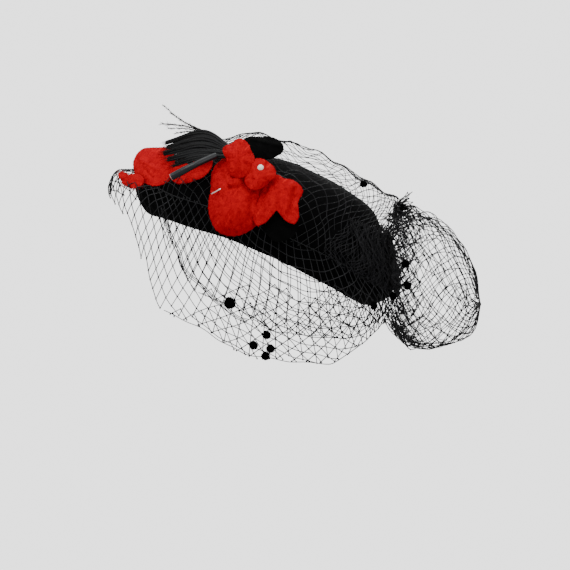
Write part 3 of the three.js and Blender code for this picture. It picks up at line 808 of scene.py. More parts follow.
@dataclass
class NetMaker:
    """Collects the cords and knots of one net piece and makes them one mesh."""

    cord: float = 0.48
    knot: float = 0.9
    lines: list[np.ndarray] = field(default_factory=list)
    knots: list[np.ndarray] = field(default_factory=list)

    def lay(self, columns: range, rows: range, kept: Places, at: Places,
            hidden: Places | None = None, steps: int = 4) -> None:
        """Lays a patch of diamond net on a surface.

        Args:
            columns: Numbers of the half diamonds across.
            rows: Numbers of the half diamonds along.
            kept: Tells which grid places are the middles of diamonds that the net has.
            at: Gives points in millimetres for grid places.
            hidden: Tells which grid places run under something, where the cords are cut off.
            steps: Points on each cord.
        """
        i, j = np.meshgrid(np.array(columns), np.array(rows), indexing="ij")
        middles = np.stack([i, j], axis=-1)[(i + j) % 2 == 1].astype(float)
        middles = middles[kept(middles)]
        left, up, right, down = (middles + d for d in ([-1, 0], [0, -1], [1, 0], [0, 1]))
        pairs = np.concatenate([
            np.hstack([left, up]), np.hstack([left, down]), np.hstack([up, right]),
            np.hstack([down, right])])
        pairs = np.unique(pairs, axis=0)
        firsts, seconds = pairs[:, :2], pairs[:, 2:]
        if hidden is not None:
            firsts, seconds = self.cut(firsts, seconds, hidden)
        share = np.linspace(0, 1, steps)[None, :, None]
        places = firsts[:, None] + (seconds - firsts)[:, None] * share
        self.add(at(places.reshape(-1, 2)).reshape(len(firsts), steps, 3))

    @staticmethod
    def cut(firsts: np.ndarray, seconds: np.ndarray,
            hidden: Places) -> tuple[np.ndarray, np.ndarray]:
        """Cuts cords off where they run under something.

        Args:
            firsts: Grid places of the first ends.
            seconds: Grid places of the second ends.
            hidden: Tells which grid places are hidden.

        Returns:
            The ends of the cords that are left.
        """
        under = hidden(firsts)
        firsts, seconds = (
            np.where(under[:, None], seconds, firsts), np.where(under[:, None], firsts, seconds))
        shown = ~hidden(firsts)
        firsts, seconds = firsts[shown], seconds[shown]
        under = hidden(seconds)
        low, high = np.zeros(len(firsts)), np.ones(len(firsts))
        for _ in range(8):
            middle = (low + high) / 2
            inside = ~hidden(firsts + (seconds - firsts) * middle[:, None])
            low = np.where(under & inside, middle, low)
            high = np.where(under & ~inside, middle, high)
        seconds = np.where(under[:, None], firsts + (seconds - firsts) * low[:, None], seconds)
        long = np.linalg.norm(seconds - firsts, axis=1) > SHORTEST_CORD
        return firsts[long], seconds[long]

    def add(self, lines: np.ndarray) -> None:
        """Adds cords of equal step count, with a knot at each end."""
        if len(lines):
            self.lines.append(lines)
            self.knots.append(lines[:, [0, -1]].reshape(-1, 3))

    def draw(self, line: np.ndarray) -> None:
        """Adds one long cord without knots through a line of points."""
        self.lines.append(np.stack([line[:-1], line[1:]], axis=1))

    def build(self, name: str, material: bpy.types.Material) -> bpy.types.Object:
        """Makes the net's mesh.

        Args:
            name: The piece's name.
            material: The cord's finish.

        Returns:
            The piece.
        """
        middles = np.unique(np.round(np.vstack(self.knots), 1), axis=0)
        spread = self.knot * np.array(
            [[1, 0, 0], [0, 1, 0], [-1, 0, 0], [0, -1, 0], [0, 0, 1.2], [0, 0, -1.2]])
        sides = np.array([[0, 1, 4], [1, 2, 4], [2, 3, 4], [3, 0, 4],
                          [1, 0, 5], [2, 1, 5], [3, 2, 5], [0, 3, 5]])
        numbers = len(spread) * np.arange(len(middles))[:, None, None]
        parts = [tubes(lines, np.array(self.cord)) for lines in self.lines]
        parts.append(((middles[:, None] + spread).reshape(-1, 3), (sides + numbers).reshape(-1, 3)))
        return loose_mesh(name, *merge(parts), material)


def row_at(rows: np.ndarray, place: np.ndarray) -> np.ndarray:
    """Reads a table smoothly between its rows, where place 0 is the first row."""
    return spline(rows, np.asarray(place, float) / (len(rows) - 1))


@dataclass
class Drape:
    """The surface of the hanging net, from the crown's widest line down to the hem."""

    columns: int = 181
    steps: int = 25

    def __post_init__(self) -> None:
        """Measures how far it is round the hat and down the net."""
        line = CROWN_ROWS[WIDEST_ROW].copy()
        line[:3] += NET_STAND_OFF
        self.line = line
        self.turns = np.radians(np.linspace(0, 180, self.columns))
        middle = self.at(self.turns, np.full(self.columns, 0.6))
        steps = np.linalg.norm(np.diff(middle, axis=0), axis=1)
        self.along = np.concatenate([[0], np.cumsum(steps)])
        turns, shares = np.meshgrid(self.turns, np.linspace(0, 1, self.steps), indexing="ij")
        down = self.at(turns, shares)
        self.depth = np.linalg.norm(np.diff(down, axis=1), axis=2).sum(axis=1)

    def at(self, turn: np.ndarray, down: np.ndarray,
           inward: np.ndarray | float = 0.0) -> np.ndarray:
        """Gives points of the net.

        Args:
            turn: Angles from the front, in radians.
            down: Shares of the way from the crown to the hem.
            inward: How far inside the net, in millimetres.

        Returns:
            The points.
        """
        place = np.interp(np.degrees(np.abs(turn)), DRAPE_ROWS[:, 0], np.arange(len(DRAPE_ROWS)))
        profile = row_at(DRAPE_ROWS[:, 1:], place).reshape(turn.shape + (4, 2))
        offset = spline(profile, down)
        start = worn(ring_points(self.line, turn))
        out = np.stack([np.sin(turn), -np.cos(turn), np.zeros_like(turn)], axis=-1)
        return (
            start + out * (offset[..., :1] - np.asarray(inward)[..., None])
            - np.array([0, 0, 1]) * offset[..., 1:]
        )

    def turn_at(self, along: np.ndarray) -> np.ndarray:
        """Gives the angle at a length round the net, where the wearer's left counts up."""
        return np.sign(along) * np.interp(np.abs(along), self.along, self.turns)

    def depth_at(self, turn: np.ndarray) -> np.ndarray:
        """Gives the net's length in millimetres from crown to hem at angles."""
        return np.interp(np.abs(turn), self.turns, self.depth)


@dataclass(frozen=True)
class Weave:
    """How a net's diamonds lie on its cloth: the length of their sides, and their lean."""

    side: float
    lean: float

    def cloth(self, places: np.ndarray) -> tuple[np.ndarray, np.ndarray]:
        """Turns grid places into millimetres across and along the cloth."""
        a = self.side * (places[:, 0] + places[:, 1]) / 2
        b = self.side * (places[:, 1] - places[:, 0]) / 2
        return (a * math.cos(self.lean) - b * math.sin(self.lean),
                a * math.sin(self.lean) + b * math.cos(self.lean))


@dataclass
class HatPart:
    """A part of the hat, made with the shared finishes and a seeded chance of its own.

    Attributes:
        finishes: Every finish on the hat.
        seed: Starts its chance.
    """

    finishes: Wardrobe
    seed: int = 1947

    def __post_init__(self) -> None:
        """Starts the seeded chance."""
        self.chance = np.random.default_rng(self.seed)


@dataclass
class NetPart(HatPart):
    """A part of the hat that is net."""

    def hang(self, maker: NetMaker, name: str, flat: tuple[float, float], held: str,
             *nodes: str) -> None:
        """Makes a net's mesh and states its cloth.

        Args:
            maker: The net's cords.
            name: The piece's name.
            flat: The cloth's flat size in metres; not used.
            held: How it is held; not used.
            *nodes: The solids that it stands for.
        """
        net = maker.build(name, self.finishes.net)
        settle(net, Slot.NET, *nodes)


@dataclass
class HangingNet(NetPart):
    """The net that hangs from the crown, its hem turned up inside and a doubled fold."""

    span: float = math.radians(157)
    hem_from: float = math.radians(54)
    # The diamonds' sides, the steepest fall of their cords and where these are level again.
    side: float = 8.9
    slope: float = 0.78
    level_at: float = 265.0
    # How far points wander, over what distance.
    stray: tuple[float, float] = (1.5, 21)
    # Angle and height of the hem that is turned up inside.
    TURN_UP = np.array([[54, 2], [60, 6], [69, 20], [76, 31], [86, 44], [90, 42], [93, 30],
                        [102, 41], [107, 50], [112, 53], [118, 58], [123, 62], [132, 50],
                        [145, 30], [157, 16]], float)
    # Angle and share of the doubled fold's middle.
    FOLD = np.array([[46, 0.3], [49, 0.41], [52, 0.46], [56, 0.54], [58, 0.61], [63, 0.65],
                     [68, 0.67], [74, 0.7], [79, 0.73], [84, 0.74]], float)

    def __post_init__(self) -> None:
        """Starts the seeded chance and measures the surface."""
        super().__post_init__()
        self.drape = Drape()

    def build(self) -> None:
        """Makes the hanging net with its turned-up hem."""
        maker = NetMaker()
        reach = range(-95, 96)
        maker.lay(reach, reach, self.kept, self.outer, self.hidden)
        for side in (1, -1):
            self.lay_turn_up(maker, side)
        self.lay_fold(maker)
        self.lay_edges(maker)
        self.hang(maker, "net_drape", (0.92, 0.14), "gathered",
                  "veil_front", "veil_left", "veil_right")

    def spots(self, places: np.ndarray) -> tuple[np.ndarray, np.ndarray]:
        """Turns grid places into an angle and a share of the way down.

        The cords lie slanted by the forehead, level over the ears and rise again behind them.

        Args:
            places: Grid places.

        Returns:
            The angles in radians, and the shares of the way from the crown to the hem.
        """
        mesh = self.side * (places[:, 0] + places[:, 1]) / 2
        phase = math.pi * mesh / self.level_at
        slope = self.slope * np.sin(phase)
        fall = self.slope * self.level_at / math.pi * (1 - np.cos(phase))
        down = self.side * (places[:, 1] - places[:, 0]) / 2 + fall
        across = mesh - 0.7 * slope * (down - 45)
        turn = self.drape.turn_at(across)
        beyond = np.abs(across) > self.drape.along[-1]
        return np.where(beyond, 9.0, turn), down / self.drape.depth_at(turn)

    def kept(self, places: np.ndarray) -> np.ndarray:
        """Tells which diamonds lie between the crown and the hem."""
        turn, down = self.spots(places)
        last = np.interp(np.degrees(np.abs(turn)), [34, 46], [0.66, 0.95])
        return (np.abs(turn) < self.span) & (down > -0.2) & (down < last)

    def hidden(self, places: np.ndarray) -> np.ndarray:
        """Tells which places lie above the crown's widest line or past the ends."""
        turn, down = self.spots(places)
        return (down < 0) | (np.abs(turn) > self.span)

    def outer(self, places: np.ndarray) -> np.ndarray:
        """Gives points of the outer net, which runs on a little past its hem as a point.

        Args:
            places: Grid places.

        Returns:
            The points.
        """
        turn, down = self.spots(places)
        hem = np.abs(turn) > self.hem_from
        down = np.where(hem, np.minimum(down, 1), down)
        points = self.drape.at(turn, np.minimum(down, 1))
        points[:, 2] -= np.where(down > 1, (down - 1) * self.drape.depth_at(turn), 0)
        return wander(points, *self.stray)

    def lay_turn_up(self, maker: NetMaker, side: int) -> None:
        """Lays the hem that is folded up inside one side of the net.

        Args:
            maker: The net under way.
            side: 1 for the wearer's left, -1 for the right.
        """
        weave = Weave(9.0, math.radians(42))

        def spots(places: np.ndarray) -> tuple[np.ndarray, ...]:
            """Reads where grid places lie on the fold.

            Args:
                places: Grid places.

            Returns:
                The angles, the heights over the hem, and the fold's own height there.
            """
            across, up = weave.cloth(places)
            turn = self.drape.turn_at(across + 190)
            height = np.interp(np.degrees(turn), self.TURN_UP[:, 0], self.TURN_UP[:, 1])
            return turn, up, height

        def at(places: np.ndarray) -> np.ndarray:
            """Gives points of the fold.

            Args:
                places: Grid places.

            Returns:
                The points.
            """
            turn, up, _ = spots(places)
            down = 1 - np.clip(up, 0, None) / self.drape.depth_at(turn)
            points = self.drape.at(side * turn, down, 0.8 + 0.11 * np.clip(up, 0, 50))
            return wander(points, 1.4, 19, side + 2.0)

        def kept(places: np.ndarray) -> np.ndarray:
            """Tells which diamonds lie on the fold."""
            turn, up, height = spots(places)
            return (up > -8) & (up < height) & (turn > self.hem_from) & (turn < self.span)

        def hidden(places: np.ndarray) -> np.ndarray:
            """Tells which places lie below the hem or past the fold's ends."""
            turn, up, _ = spots(places)
            return (up < 0) | (turn < self.hem_from) | (turn > self.span)

        maker.lay(range(-50, 50), range(-50, 50), kept, at, hidden)

    def lay_fold(self, maker: NetMaker) -> None:
        """Lays the long fold that doubles the net on the wearer's left.

        Args:
            maker: The net under way.
        """
        share = np.linspace(0, 1, 70)
        middle = spline(self.FOLD, share)
        for step in (-1, 0, 1):
            turn = np.radians(middle[:, 0]) + step * (0.009 + 0.008 * np.sin(5 * share + step))
            line = self.drape.at(turn, middle[:, 1] - step * 0.012, 1.2 + 0 * turn)
            maker.draw(wander(line, *self.stray))

    def lay_edges(self, maker: NetMaker) -> None:
        """Lays the cord along the folded hem on both sides, and the one along the crown.

        Args:
            maker: The net under way.
        """
        turns = np.linspace(self.hem_from, self.span, 100)
        for side in (1, -1):
            maker.draw(wander(self.drape.at(side * turns, np.ones(100)), *self.stray))
        maker.draw(self.drape.at(np.radians(np.linspace(-157, 157, 160)), np.zeros(160)))


@dataclass
class CrownNet(NetPart):
    """The net over the crown, from its crest to the widest line, drawn together behind."""

    columns: int = 144
    steps: int = 60
    # How far behind the crest the net could reach if it were drawn together without end.
    drawn: float = 230.0

    def __post_init__(self) -> None:
        """Starts the seeded chance and measures the surface from the crest down."""
        super().__post_init__()
        low = CROWN_ROWS[WIDEST_ROW].copy()
        low[:3] += NET_STAND_OFF
        side = CROWN_ROWS[3:5].copy()
        side[:, :3] += [[3.2, 3.2, 2.6], [4.4, 4.4, 3.6]]
        self.rows = np.vstack([DOME_ROWS[::-1], side[::-1], low])
        turns = np.linspace(-math.pi, math.pi, self.columns + 1)
        self.places = np.linspace(0, len(self.rows) - 1, self.steps + 1)
        grid = self.surface(*np.meshgrid(turns, self.places, indexing="ij"))
        steps = np.linalg.norm(np.diff(grid, axis=1), axis=2)
        self.reach = np.hstack([np.zeros((len(turns), 1)), np.cumsum(steps, axis=1)])

    def surface(self, turn: np.ndarray, place: np.ndarray) -> np.ndarray:
        """Gives points by angle and by place in the rows, from the crest down."""
        return worn(ring_points(row_at(self.rows, place), turn))

    def spots(self, flat: np.ndarray) -> tuple[np.ndarray, np.ndarray]:
        """Turns a flat cloth laid on the crest into angles and places down the crown.

        Args:
            flat: Millimetres to the wearer's left and ahead of the crest.

        Returns:
            The angles, and the places in the rows, past the last where the cloth is past it.
        """
        turn = np.arctan2(flat[:, 0], flat[:, 1])
        far = np.linalg.norm(flat, axis=1)
        column = (turn + math.pi) / (2 * math.pi) * self.columns
        low = np.clip(column.astype(int), 0, self.columns - 1)
        part = (column - low)[:, None]
        reach = self.reach[low] * (1 - part) + self.reach[low + 1] * part
        k = np.clip((reach < far[:, None]).sum(axis=1), 1, self.steps)
        near, past = (np.take_along_axis(reach, n[:, None], 1)[:, 0] for n in (k - 1, k))
        start = self.places[k - 1]
        return turn, start + (far - near) / (past - near) * (self.places[k] - start)

    def build(self) -> None:
        """Makes the net over the crown."""
        weave = Weave(9.0, math.radians(38))
        last = len(self.rows) - 1

        def spots(places: np.ndarray) -> tuple[np.ndarray, np.ndarray]:
            """Reads where grid places lie on the net, drawn together behind.

            Args:
                places: Grid places.

            Returns:
                The angles and the places down the crown.
            """
            left, ahead = weave.cloth(places)
            behind = -self.drawn * (1 - np.exp(np.minimum(ahead, 0) / self.drawn))
            return self.spots(np.stack([left, np.where(ahead < 0, behind, ahead)], axis=-1))

        def at(places: np.ndarray) -> np.ndarray:
            """Gives points of the net."""
            turn, place = spots(places)
            return wander(self.surface(turn, np.minimum(place, last)), 2.6, 19, 0.7)

        maker = NetMaker(cord=0.36, knot=0.6)
        maker.lay(range(-66, 67), range(-66, 67), lambda p: spots(p)[1] < last + 0.6, at,
                  lambda p: spots(p)[1] > last)
        self.hang(maker, "net_crown", (0.3, 0.32), "draped", "veil_crown")


@dataclass
class Gather(NetPart):
    """The net drawn up tight in upright pleats against the back of the crown."""

    reach: float = math.radians(58)
    pleats: int = 22
    # The crown's rows that the pleats' foot and head lie on.
    foot_row: float = 1.7
    head_row: float = 4.9
    # Half diamonds up, and half diamonds round for each layer.
    rows: int = 10
    layers: tuple[int, ...] = (96, 80, 66)

    def at(self, across: np.ndarray, up: np.ndarray, layer: int) -> np.ndarray:
        """Gives points of one layer of the pleats.

        Args:
            across: From 0 to 1 round the back of the crown, from the wearer's left.
            up: From 0 at the foot to 1 at the head.
            layer: The layer's number, from the crown out.

        Returns:
            The points.
        """
        reach = self.reach * (1 - 0.13 * layer) * (1 + 0.12 * np.sin(5 * up + 2 * layer))
        angle = math.pi + reach * (2 * across - 1)
        row = self.foot_row + (self.head_row - self.foot_row) * up
        base = ring_points(row_at(CROWN_ROWS, row), angle)
        out = unit(base * [1, 1, 0.35])
        pleat = np.sin(math.pi * self.pleats * across + 1.3 * layer + 1.5 * np.sin(4 * up + layer))
        lift = 2.0 + 1.5 * layer + 1.6 * pleat + 2.0 * np.sin(math.pi * np.clip(up, 0, 1))
        flare = 4.5 * np.clip(up - 0.82, 0, 1) / 0.18 * (0.6 + 0.4 * pleat)
        return wander(worn(base + out * (lift + flare)[..., None]), 1.0, 11, layer)

    def build(self) -> None:
        """Makes the pleats as layers of net with narrow, tall diamonds."""
        maker = NetMaker(cord=0.33, knot=0.5)
        for layer, count in enumerate(self.layers):
            ends = np.array([count, self.rows])
            maker.lay(range(0, count + 1), range(-1, self.rows + 2),
                      lambda p: ((p > 0) & (p < ends)).all(axis=1),
                      lambda p: self.at(p[:, 0] / count, p[:, 1] / self.rows, layer))
        self.hang(maker, "net_gather", (0.62, 0.12), "gathered", "veil_gather")


@dataclass(frozen=True)
class BagLayer:
    """One layer of the bag's net.

    Attributes:
        around: Half diamonds round the bag.
        inward: How much smaller the layer is, in millimetres.
        last: The row, counted from the neck, where it ends.
        slant: How many half diamonds it turns by in each row.
        phase: Shifts its waves.
        edges_only: Whether it lies only along the bag's top and foot.
    """

    around: int
    inward: float
    last: float
    slant: float
    phase: float
    edges_only: bool = False


@dataclass
class Pouf(NetPart):
    """The puffed bag of net behind the head."""

    # Half diamonds from the neck to the tip.
    rows: int = 17
    layers: tuple[BagLayer, ...] = (
        BagLayer(44, 0.0, rows, 0.0, 1.0), BagLayer(40, 4.0, 6.5, 0.5, 2.0),
        BagLayer(48, 8.0, 4.2, -0.4, 3.0), BagLayer(56, -2.0, 3.0, 0.3, 4.0),
        BagLayer(36, 2.5, 15.0, 0.4, 5.0, edges_only=True),
    )
    frill_reach: int = 24
    frill_rows: int = 4

    def at(self, turn: np.ndarray, share: np.ndarray, inward: float = 0.0) -> np.ndarray:
        """Gives points of the bag.

        Args:
            turn: Angles round the bag, from its top towards the wearer's left.
            share: From 0 at the neck to 1 at the tip.
            inward: How much smaller this layer is, in millimetres.

        Returns:
            The points.
        """
        y, low, high, half = np.moveaxis(spline(POUF_ROWS, share), -1, 0)
        fold = 1 + 0.05 * np.sin(9 * turn + 5 * share) * (1 - share)
        half = np.maximum(half - inward, 0) * fold
        tall = np.maximum((high - low) / 2 - inward, 0) * fold
        return np.stack([
            half * np.sin(turn), y - inward, (high + low) / 2 + tall * np.cos(turn)], axis=-1)

    def build(self) -> None:
        """Makes the bag, the layers inside its neck and its edges, and the frill."""
        maker = NetMaker(cord=0.45, knot=0.75)
        for layer in self.layers:
            self.lay_layer(maker, layer)
        self.lay_frill(maker)
        self.hang(maker, "net_pouf", (0.38, 0.27), "gathered", "veil_pouf")

    def lay_layer(self, maker: NetMaker, layer: BagLayer) -> None:
        """Lays one layer of the bag.

        Args:
            maker: The net under way.
            layer: The layer.
        """
        def at(places: np.ndarray) -> np.ndarray:
            """Gives points of the layer.

            Args:
                places: Grid places.

            Returns:
                The points.
            """
            turn = (places[:, 0] + layer.slant * places[:, 1]) / layer.around * 2 * math.pi
            points = self.at(turn, self.pace(places[:, 1] / self.rows), layer.inward)
            return wander(points, 1.6 + 0.8 * (layer.inward != 0), 16, layer.phase)

        def kept(places: np.ndarray) -> np.ndarray:
            """Tells which diamonds the layer has.

            Args:
                places: Grid places.

            Returns:
                Whether each is kept.
            """
            turn = places[:, 0] / layer.around * 2 * math.pi
            uneven = 0.3 * np.sin(3 * turn + layer.phase) * (layer.last < self.rows)
            edge = layer.last * (1 + uneven)
            shown = (places[:, 1] > 0) & (places[:, 1] < edge)
            return shown & (np.abs(np.cos(turn)) > 0.72) if layer.edges_only else shown

        maker.lay(range(0, layer.around), range(-1, self.rows + 2), kept, at)

    def lay_frill(self, maker: NetMaker) -> None:
        """Lays the loose frill that stands up where the bag meets the net of the crown.

        Args:
            maker: The net under way.
        """
        reach, rows = self.frill_reach, self.frill_rows

        def at(places: np.ndarray) -> np.ndarray:
            """Gives points of the frill.

            Args:
                places: Grid places.

            Returns:
                The points.
            """
            turn = places[:, 0] / reach * 1.9
            rise = places[:, 1] / rows
            wave = np.sin(1.15 * places[:, 0]) + 0.6 * np.sin(2.3 * places[:, 0] + 1)
            points = self.at(turn, 0.02 + 0 * turn, -2 - 11 * rise - 2.5 * wave * rise)
            points[:, 1] += -4 + 5 * wave * rise
            return wander(points, 2.0, 9, 6.0)

        maker.lay(range(-reach, reach + 1), range(0, rows + 1),
                  lambda p: (p[:, 1] > 0) & (p[:, 1] < rows) & (np.abs(p[:, 0]) < reach), at)

    @staticmethod
    def pace(share: np.ndarray) -> np.ndarray:
        """Spreads the rows so that diamonds keep their size near the tip."""
        return 1 - (1 - np.clip(share, 0, 1)) ** 1.15


@dataclass(frozen=True)
class Crease:
    """A fold line on a petal, seen from the left: back and up from its middle, in millimetres."""

    start: tuple[float, float]
    end: tuple[float, float]
    depth: float
    width: float = 1.6


@dataclass(frozen=True)
class PetalSpec:
    """One velvet petal or leaf, as a star of reaches round a middle.

    Attributes:
        name: Its solid's name.
        middle: Its middle, in millimetres.
        lean_up: How far it leans out for each millimetre up.
        lean_back: How far it leans out for each millimetre back.
        bulge: How far its middle stands out.
        reach: Its reaches, clockwise from straight up as seen from the left.
        creases: Its fold lines.
        ripple: How far its edge waves in and out.
    """

    name: str
    middle: Point
    lean_up: float
    lean_back: float
    bulge: float
    reach: tuple[float, ...]
    creases: tuple[Crease, ...] = ()
    ripple: float = 1.1

    def reach_at(self, turn: np.ndarray) -> np.ndarray:
        """Gives the petal's reach, rounded between the values of its row.

        Args:
            turn: Turns clockwise from straight up, in radians.

        Returns:
            The reaches in millimetres.
        """
        row = np.asarray(self.reach)
        step = turn / (2 * math.pi) * len(row)
        k = np.floor(step).astype(int)
        t = step - k
        a, b, c, d = (row[(k + n) % len(row)] for n in (-1, 0, 1, 2))
        return (2 * b + (c - a) * t + (2 * a - 5 * b + 4 * c - d) * t**2
                + (3 * b - a - 3 * c + d) * t**3) / 2

    @property
    def normal(self) -> np.ndarray:
        """The way that the petal faces."""
        return unit(np.array([1, -self.lean_back, -self.lean_up]))

    def at(self, turn: np.ndarray, share: np.ndarray) -> np.ndarray:
        """Gives points of the petal.

        Args:
            turn: Turns clockwise from straight up, in radians.
            share: From 0 in the middle to 1 at the edge.

        Returns:
            The points in millimetres.
        """
        seed = sum(map(ord, self.name)) % 7
        ragged = 1 + 0.012 * share**6 * (np.sin(31 * turn + seed) + np.sin(53 * turn))
        reach = share * self.reach_at(turn) * ragged
        back, up = reach * np.sin(turn), reach * np.cos(turn)
        lift = self.bulge * (1 - share**2)
        lift += self.ripple * share**2 * np.sin(5 * turn + seed) * np.sin(2.0 * turn + 2 * seed)
        lift += 0.22 * share * np.sin(13 * turn + 0.12 * back + seed)
        for crease in self.creases:
            lift += self.fold(crease, back, up)
        x, y, z = self.middle
        return np.stack([
            x + self.lean_up * up + self.lean_back * back + lift, y + back, z + up], axis=-1)

    @staticmethod
    def fold(crease: Crease, back: np.ndarray, up: np.ndarray) -> np.ndarray:
        """Gives the lift of one fold line at places of the petal.

        Args:
            crease: The fold line.
            back: Millimetres back from the petal's middle.
            up: Millimetres up from the petal's middle.

        Returns:
            The lifts in millimetres.
        """
        start, end = np.array(crease.start), np.array(crease.end)
        line = end - start
        place = np.stack([back, up], axis=-1) - start
        along = np.clip(place @ line / (line @ line), 0, 1)
        gap = np.linalg.norm(place - along[..., None] * line, axis=-1)
        return crease.depth * np.exp(-(gap / crease.width) ** 2)


FRONT_PETALS = (
    PetalSpec("front_petal_low", (89.9, -12.4, 56.2), -0.42, 0.02, 16.5,
              (44, 31, 29, 27, 28, 28, 29, 29, 26, 25, 27, 40),
              (Crease((-16, 33), (-10, 22), -2.2, 1.5), Crease((-10, 22), (-4, 14), -2.6, 1.7),
               Crease((-4, 14), (4, 14), -2.2, 1.6), Crease((16, 8), (15, -14), -2.0, 1.8),
               Crease((-14, -8), (-25, -16), 1.0, 1.0), Crease((-2, -12), (-8, -27), 0.9, 1.0),
               Crease((-7, 17), (13, 28), 4.0, 4.5),
               Crease((-12, 4), (-26, 6), 0.9, 1.0), Crease((6, -8), (12, -24), -1.0, 1.3)),
              1.4),
    PetalSpec("front_petal_lobe", (89.4, -9.1, 96.9), -0.45, 0, 6,
              (18, 15, 12.5, 14, 15, 17, 18, 16, 12, 11.5, 17.5, 15.5),
              (Crease((0, 12), (2, -14), -1.4, 1.6), Crease((-8, 6), (-6, -8), 1.0, 1.4))),
    PetalSpec("front_petal_back", (95.3, 11.9, 81.9), -0.5, 0, 4.5,
              (14.5, 12.5, 13, 13, 10, 10, 12, 15, 16, 15, 15, 16),
              (Crease((-9, 12), (-6, -2), 1.2, 1.2), Crease((4, 10), (6, -6), -1.0, 1.4))),
    PetalSpec("front_petal_tail", (93.8, 26.2, 68.3), -0.42, 0.05, 4,
              (13.5, 12, 17, 23, 22, 34, 18, 36, 20, 14, 13, 14),
              (Crease((12, 6), (6, -26), 1.8, 2.2), Crease((16, 2), (12, -22), -2.2, 1.8),
               Crease((-8, 8), (-14, -18), -1.4, 1.6)), 1.5),
)
REAR_PETALS = (
    PetalSpec("rear_petal_main", (40.5, -101.4, 91.7), -0.9, 0.35, 5,
              (14.5, 17, 25, 27, 29, 24, 18.5, 18, 15, 15.5, 15.5, 15.5),
              (Crease((-10, 4), (12, -6), 1.2, 1.6), Crease((-2, -6), (8, -14), -1.2, 1.4))),
    PetalSpec("rear_petal_tip", (52.7, -117.8, 75.9), -0.6, 0.4, 1,
              (4.5, 6.5, 11.5, 16, 12.5, 8.5, 6, 5.5, 6.5, 7.5, 13, 8)),
    PetalSpec("rear_petal_wing", (68.8, -58.8, 81.9), -0.8, 0.5, 3,
              (9, 15, 26, 18, 10, 8, 7.5, 9.5, 15, 19, 16, 12)),
)
LEAVES = (
    PetalSpec("leaf_upper", (53, 7, 105), -0.7, 0.1, 3,
              (11, 13, 17, 21, 15, 11, 10, 12, 17, 20, 19, 13),
              (Crease((-10, 9), (18, 3), 1.6, 1.8),)),
    PetalSpec("leaf_lower", (97.1, 25.6, 38.2), -0.3, -0.05, 2,
              (16, 19, 21, 20, 19, 17, 16, 13, 12, 12, 13, 14),
              (Crease((-10, 6), (18, -4), 1.2, 1.6),)),
)


@dataclass
class Posy(HatPart):
    """The red velvet flowers and the black velvet leaves."""

    petal_wall: float = 1.0
    leaf_wall: float = 1.3
    frayed: str = "rear_petal_tip"

    def build(self) -> None:
        """Makes every petal and leaf, and the fuzz along the red edges."""
        for spec in FRONT_PETALS + REAR_PETALS:
            self.make(spec, self.finishes.red_velvet, Slot.RED, self.petal_wall)
            self.fuzz(spec)
        for spec in LEAVES:
            self.make(spec, self.finishes.leaf_velvet, Slot.LEAF, self.leaf_wall)

    @staticmethod
    def make(spec: PetalSpec, finish: bpy.types.Material, slot: Slot, wall: float) -> None:
        """Models one petal or leaf.

        Args:
            spec: Its shape.
            finish: Its material.
            slot: Its material slot.
            wall: Its thickness in millimetres.
        """
        piece = sheet_from_grid(
            spec.name + "_cloth", 108, 22,
            lambda u, v: spec.at(2 * math.pi * u, v), finish, wall)
        settle(piece, slot, spec.name)

    def fuzz(self, spec: PetalSpec) -> None:
        """Adds the short loose threads along a cut velvet edge.

        Args:
            spec: The petal.
        """
        count, longest = (420, 3.2) if spec.name == self.frayed else (300, 1.3)
        turn = self.chance.uniform(0, 2 * math.pi, count)
        edge = spec.at(turn, np.full(count, 0.985))
        out = unit(edge - spec.at(turn, np.full(count, 0.9)))
        stray = self.chance.normal(0, 0.45, (count, 3))
        length = self.chance.uniform(0.35, longest, count)[:, None]
        tip = edge + unit(out + stray) * length
        middle = (edge + tip) / 2 + stray * length * 0.25
        lines = np.stack([edge, middle, tip], axis=1)
        points, quads = tubes(lines, np.array([0.13, 0.1, 0.03]))
        piece = loose_mesh(spec.name + "_fuzz", points, quads.tolist(), self.finishes.red_fuzz)
        settle(piece, Slot.RED)


@dataclass(frozen=True)
class QuillSpec:
    """One flat cut quill: where it runs and how wide it is, in millimetres."""

    name: str
    root: Point
    belly: Point
    tip: Point
    widths: tuple[float, float, float]
    curl: float = 0.7


QUILLS = (
    QuillSpec("quill_top", (74.3, -13.4, 100.7), (46.3, -46.4, 119.7), (34.3, -86.4, 110.7),
              (3, 5.5, 3.5)),
    QuillSpec("quill_upper", (75.8, -13.9, 100.7), (50.3, -47.4, 114.2), (41.3, -84.4, 106.2),
              (3, 6, 3.5)),
    QuillSpec("quill_middle", (77.3, -14.4, 100.7), (56.3, -50.4, 108.2), (50.3, -85.4, 100.7),
              (3, 6, 4)),
    QuillSpec("quill_lower", (79.1, -14.9, 100.2), (64.3, -51.4, 102.2), (57.3, -80.4, 95.2),
              (3, 6, 3.5)),
    QuillSpec("quill_inner", (81.3, -15.4, 99.2), (73.3, -53.4, 96.7), (66.3, -73.4, 89.2),
              (2.5, 5, 2)),
)
ROLLED_PATH = np.array([[82.5, -30.8, 99.7], [91, -50, 90.6], [88, -71, 80]], float)
ROLLED_ROUND = 3.4
ROLLED_WALL = 0.9
FEATHER_HEAD = (38.3, -43.4, 119.2)
WISPS = (
    ((38.3, -66.4, 126.2), (26.3, -91.4, 128.7), 1.5),
    ((36.3, -70.4, 131.7), (24.3, -89.4, 145.7), 1.0),
    ((38.3, -62.4, 127.2), (26.3, -82.4, 138.7), 1.0),
    ((40.3, -64.4, 123.7), (28.3, -84.4, 124.2), 1.0),
    ((39.3, -60.4, 121.5), (32.3, -77.4, 119.5), 0.9),
)


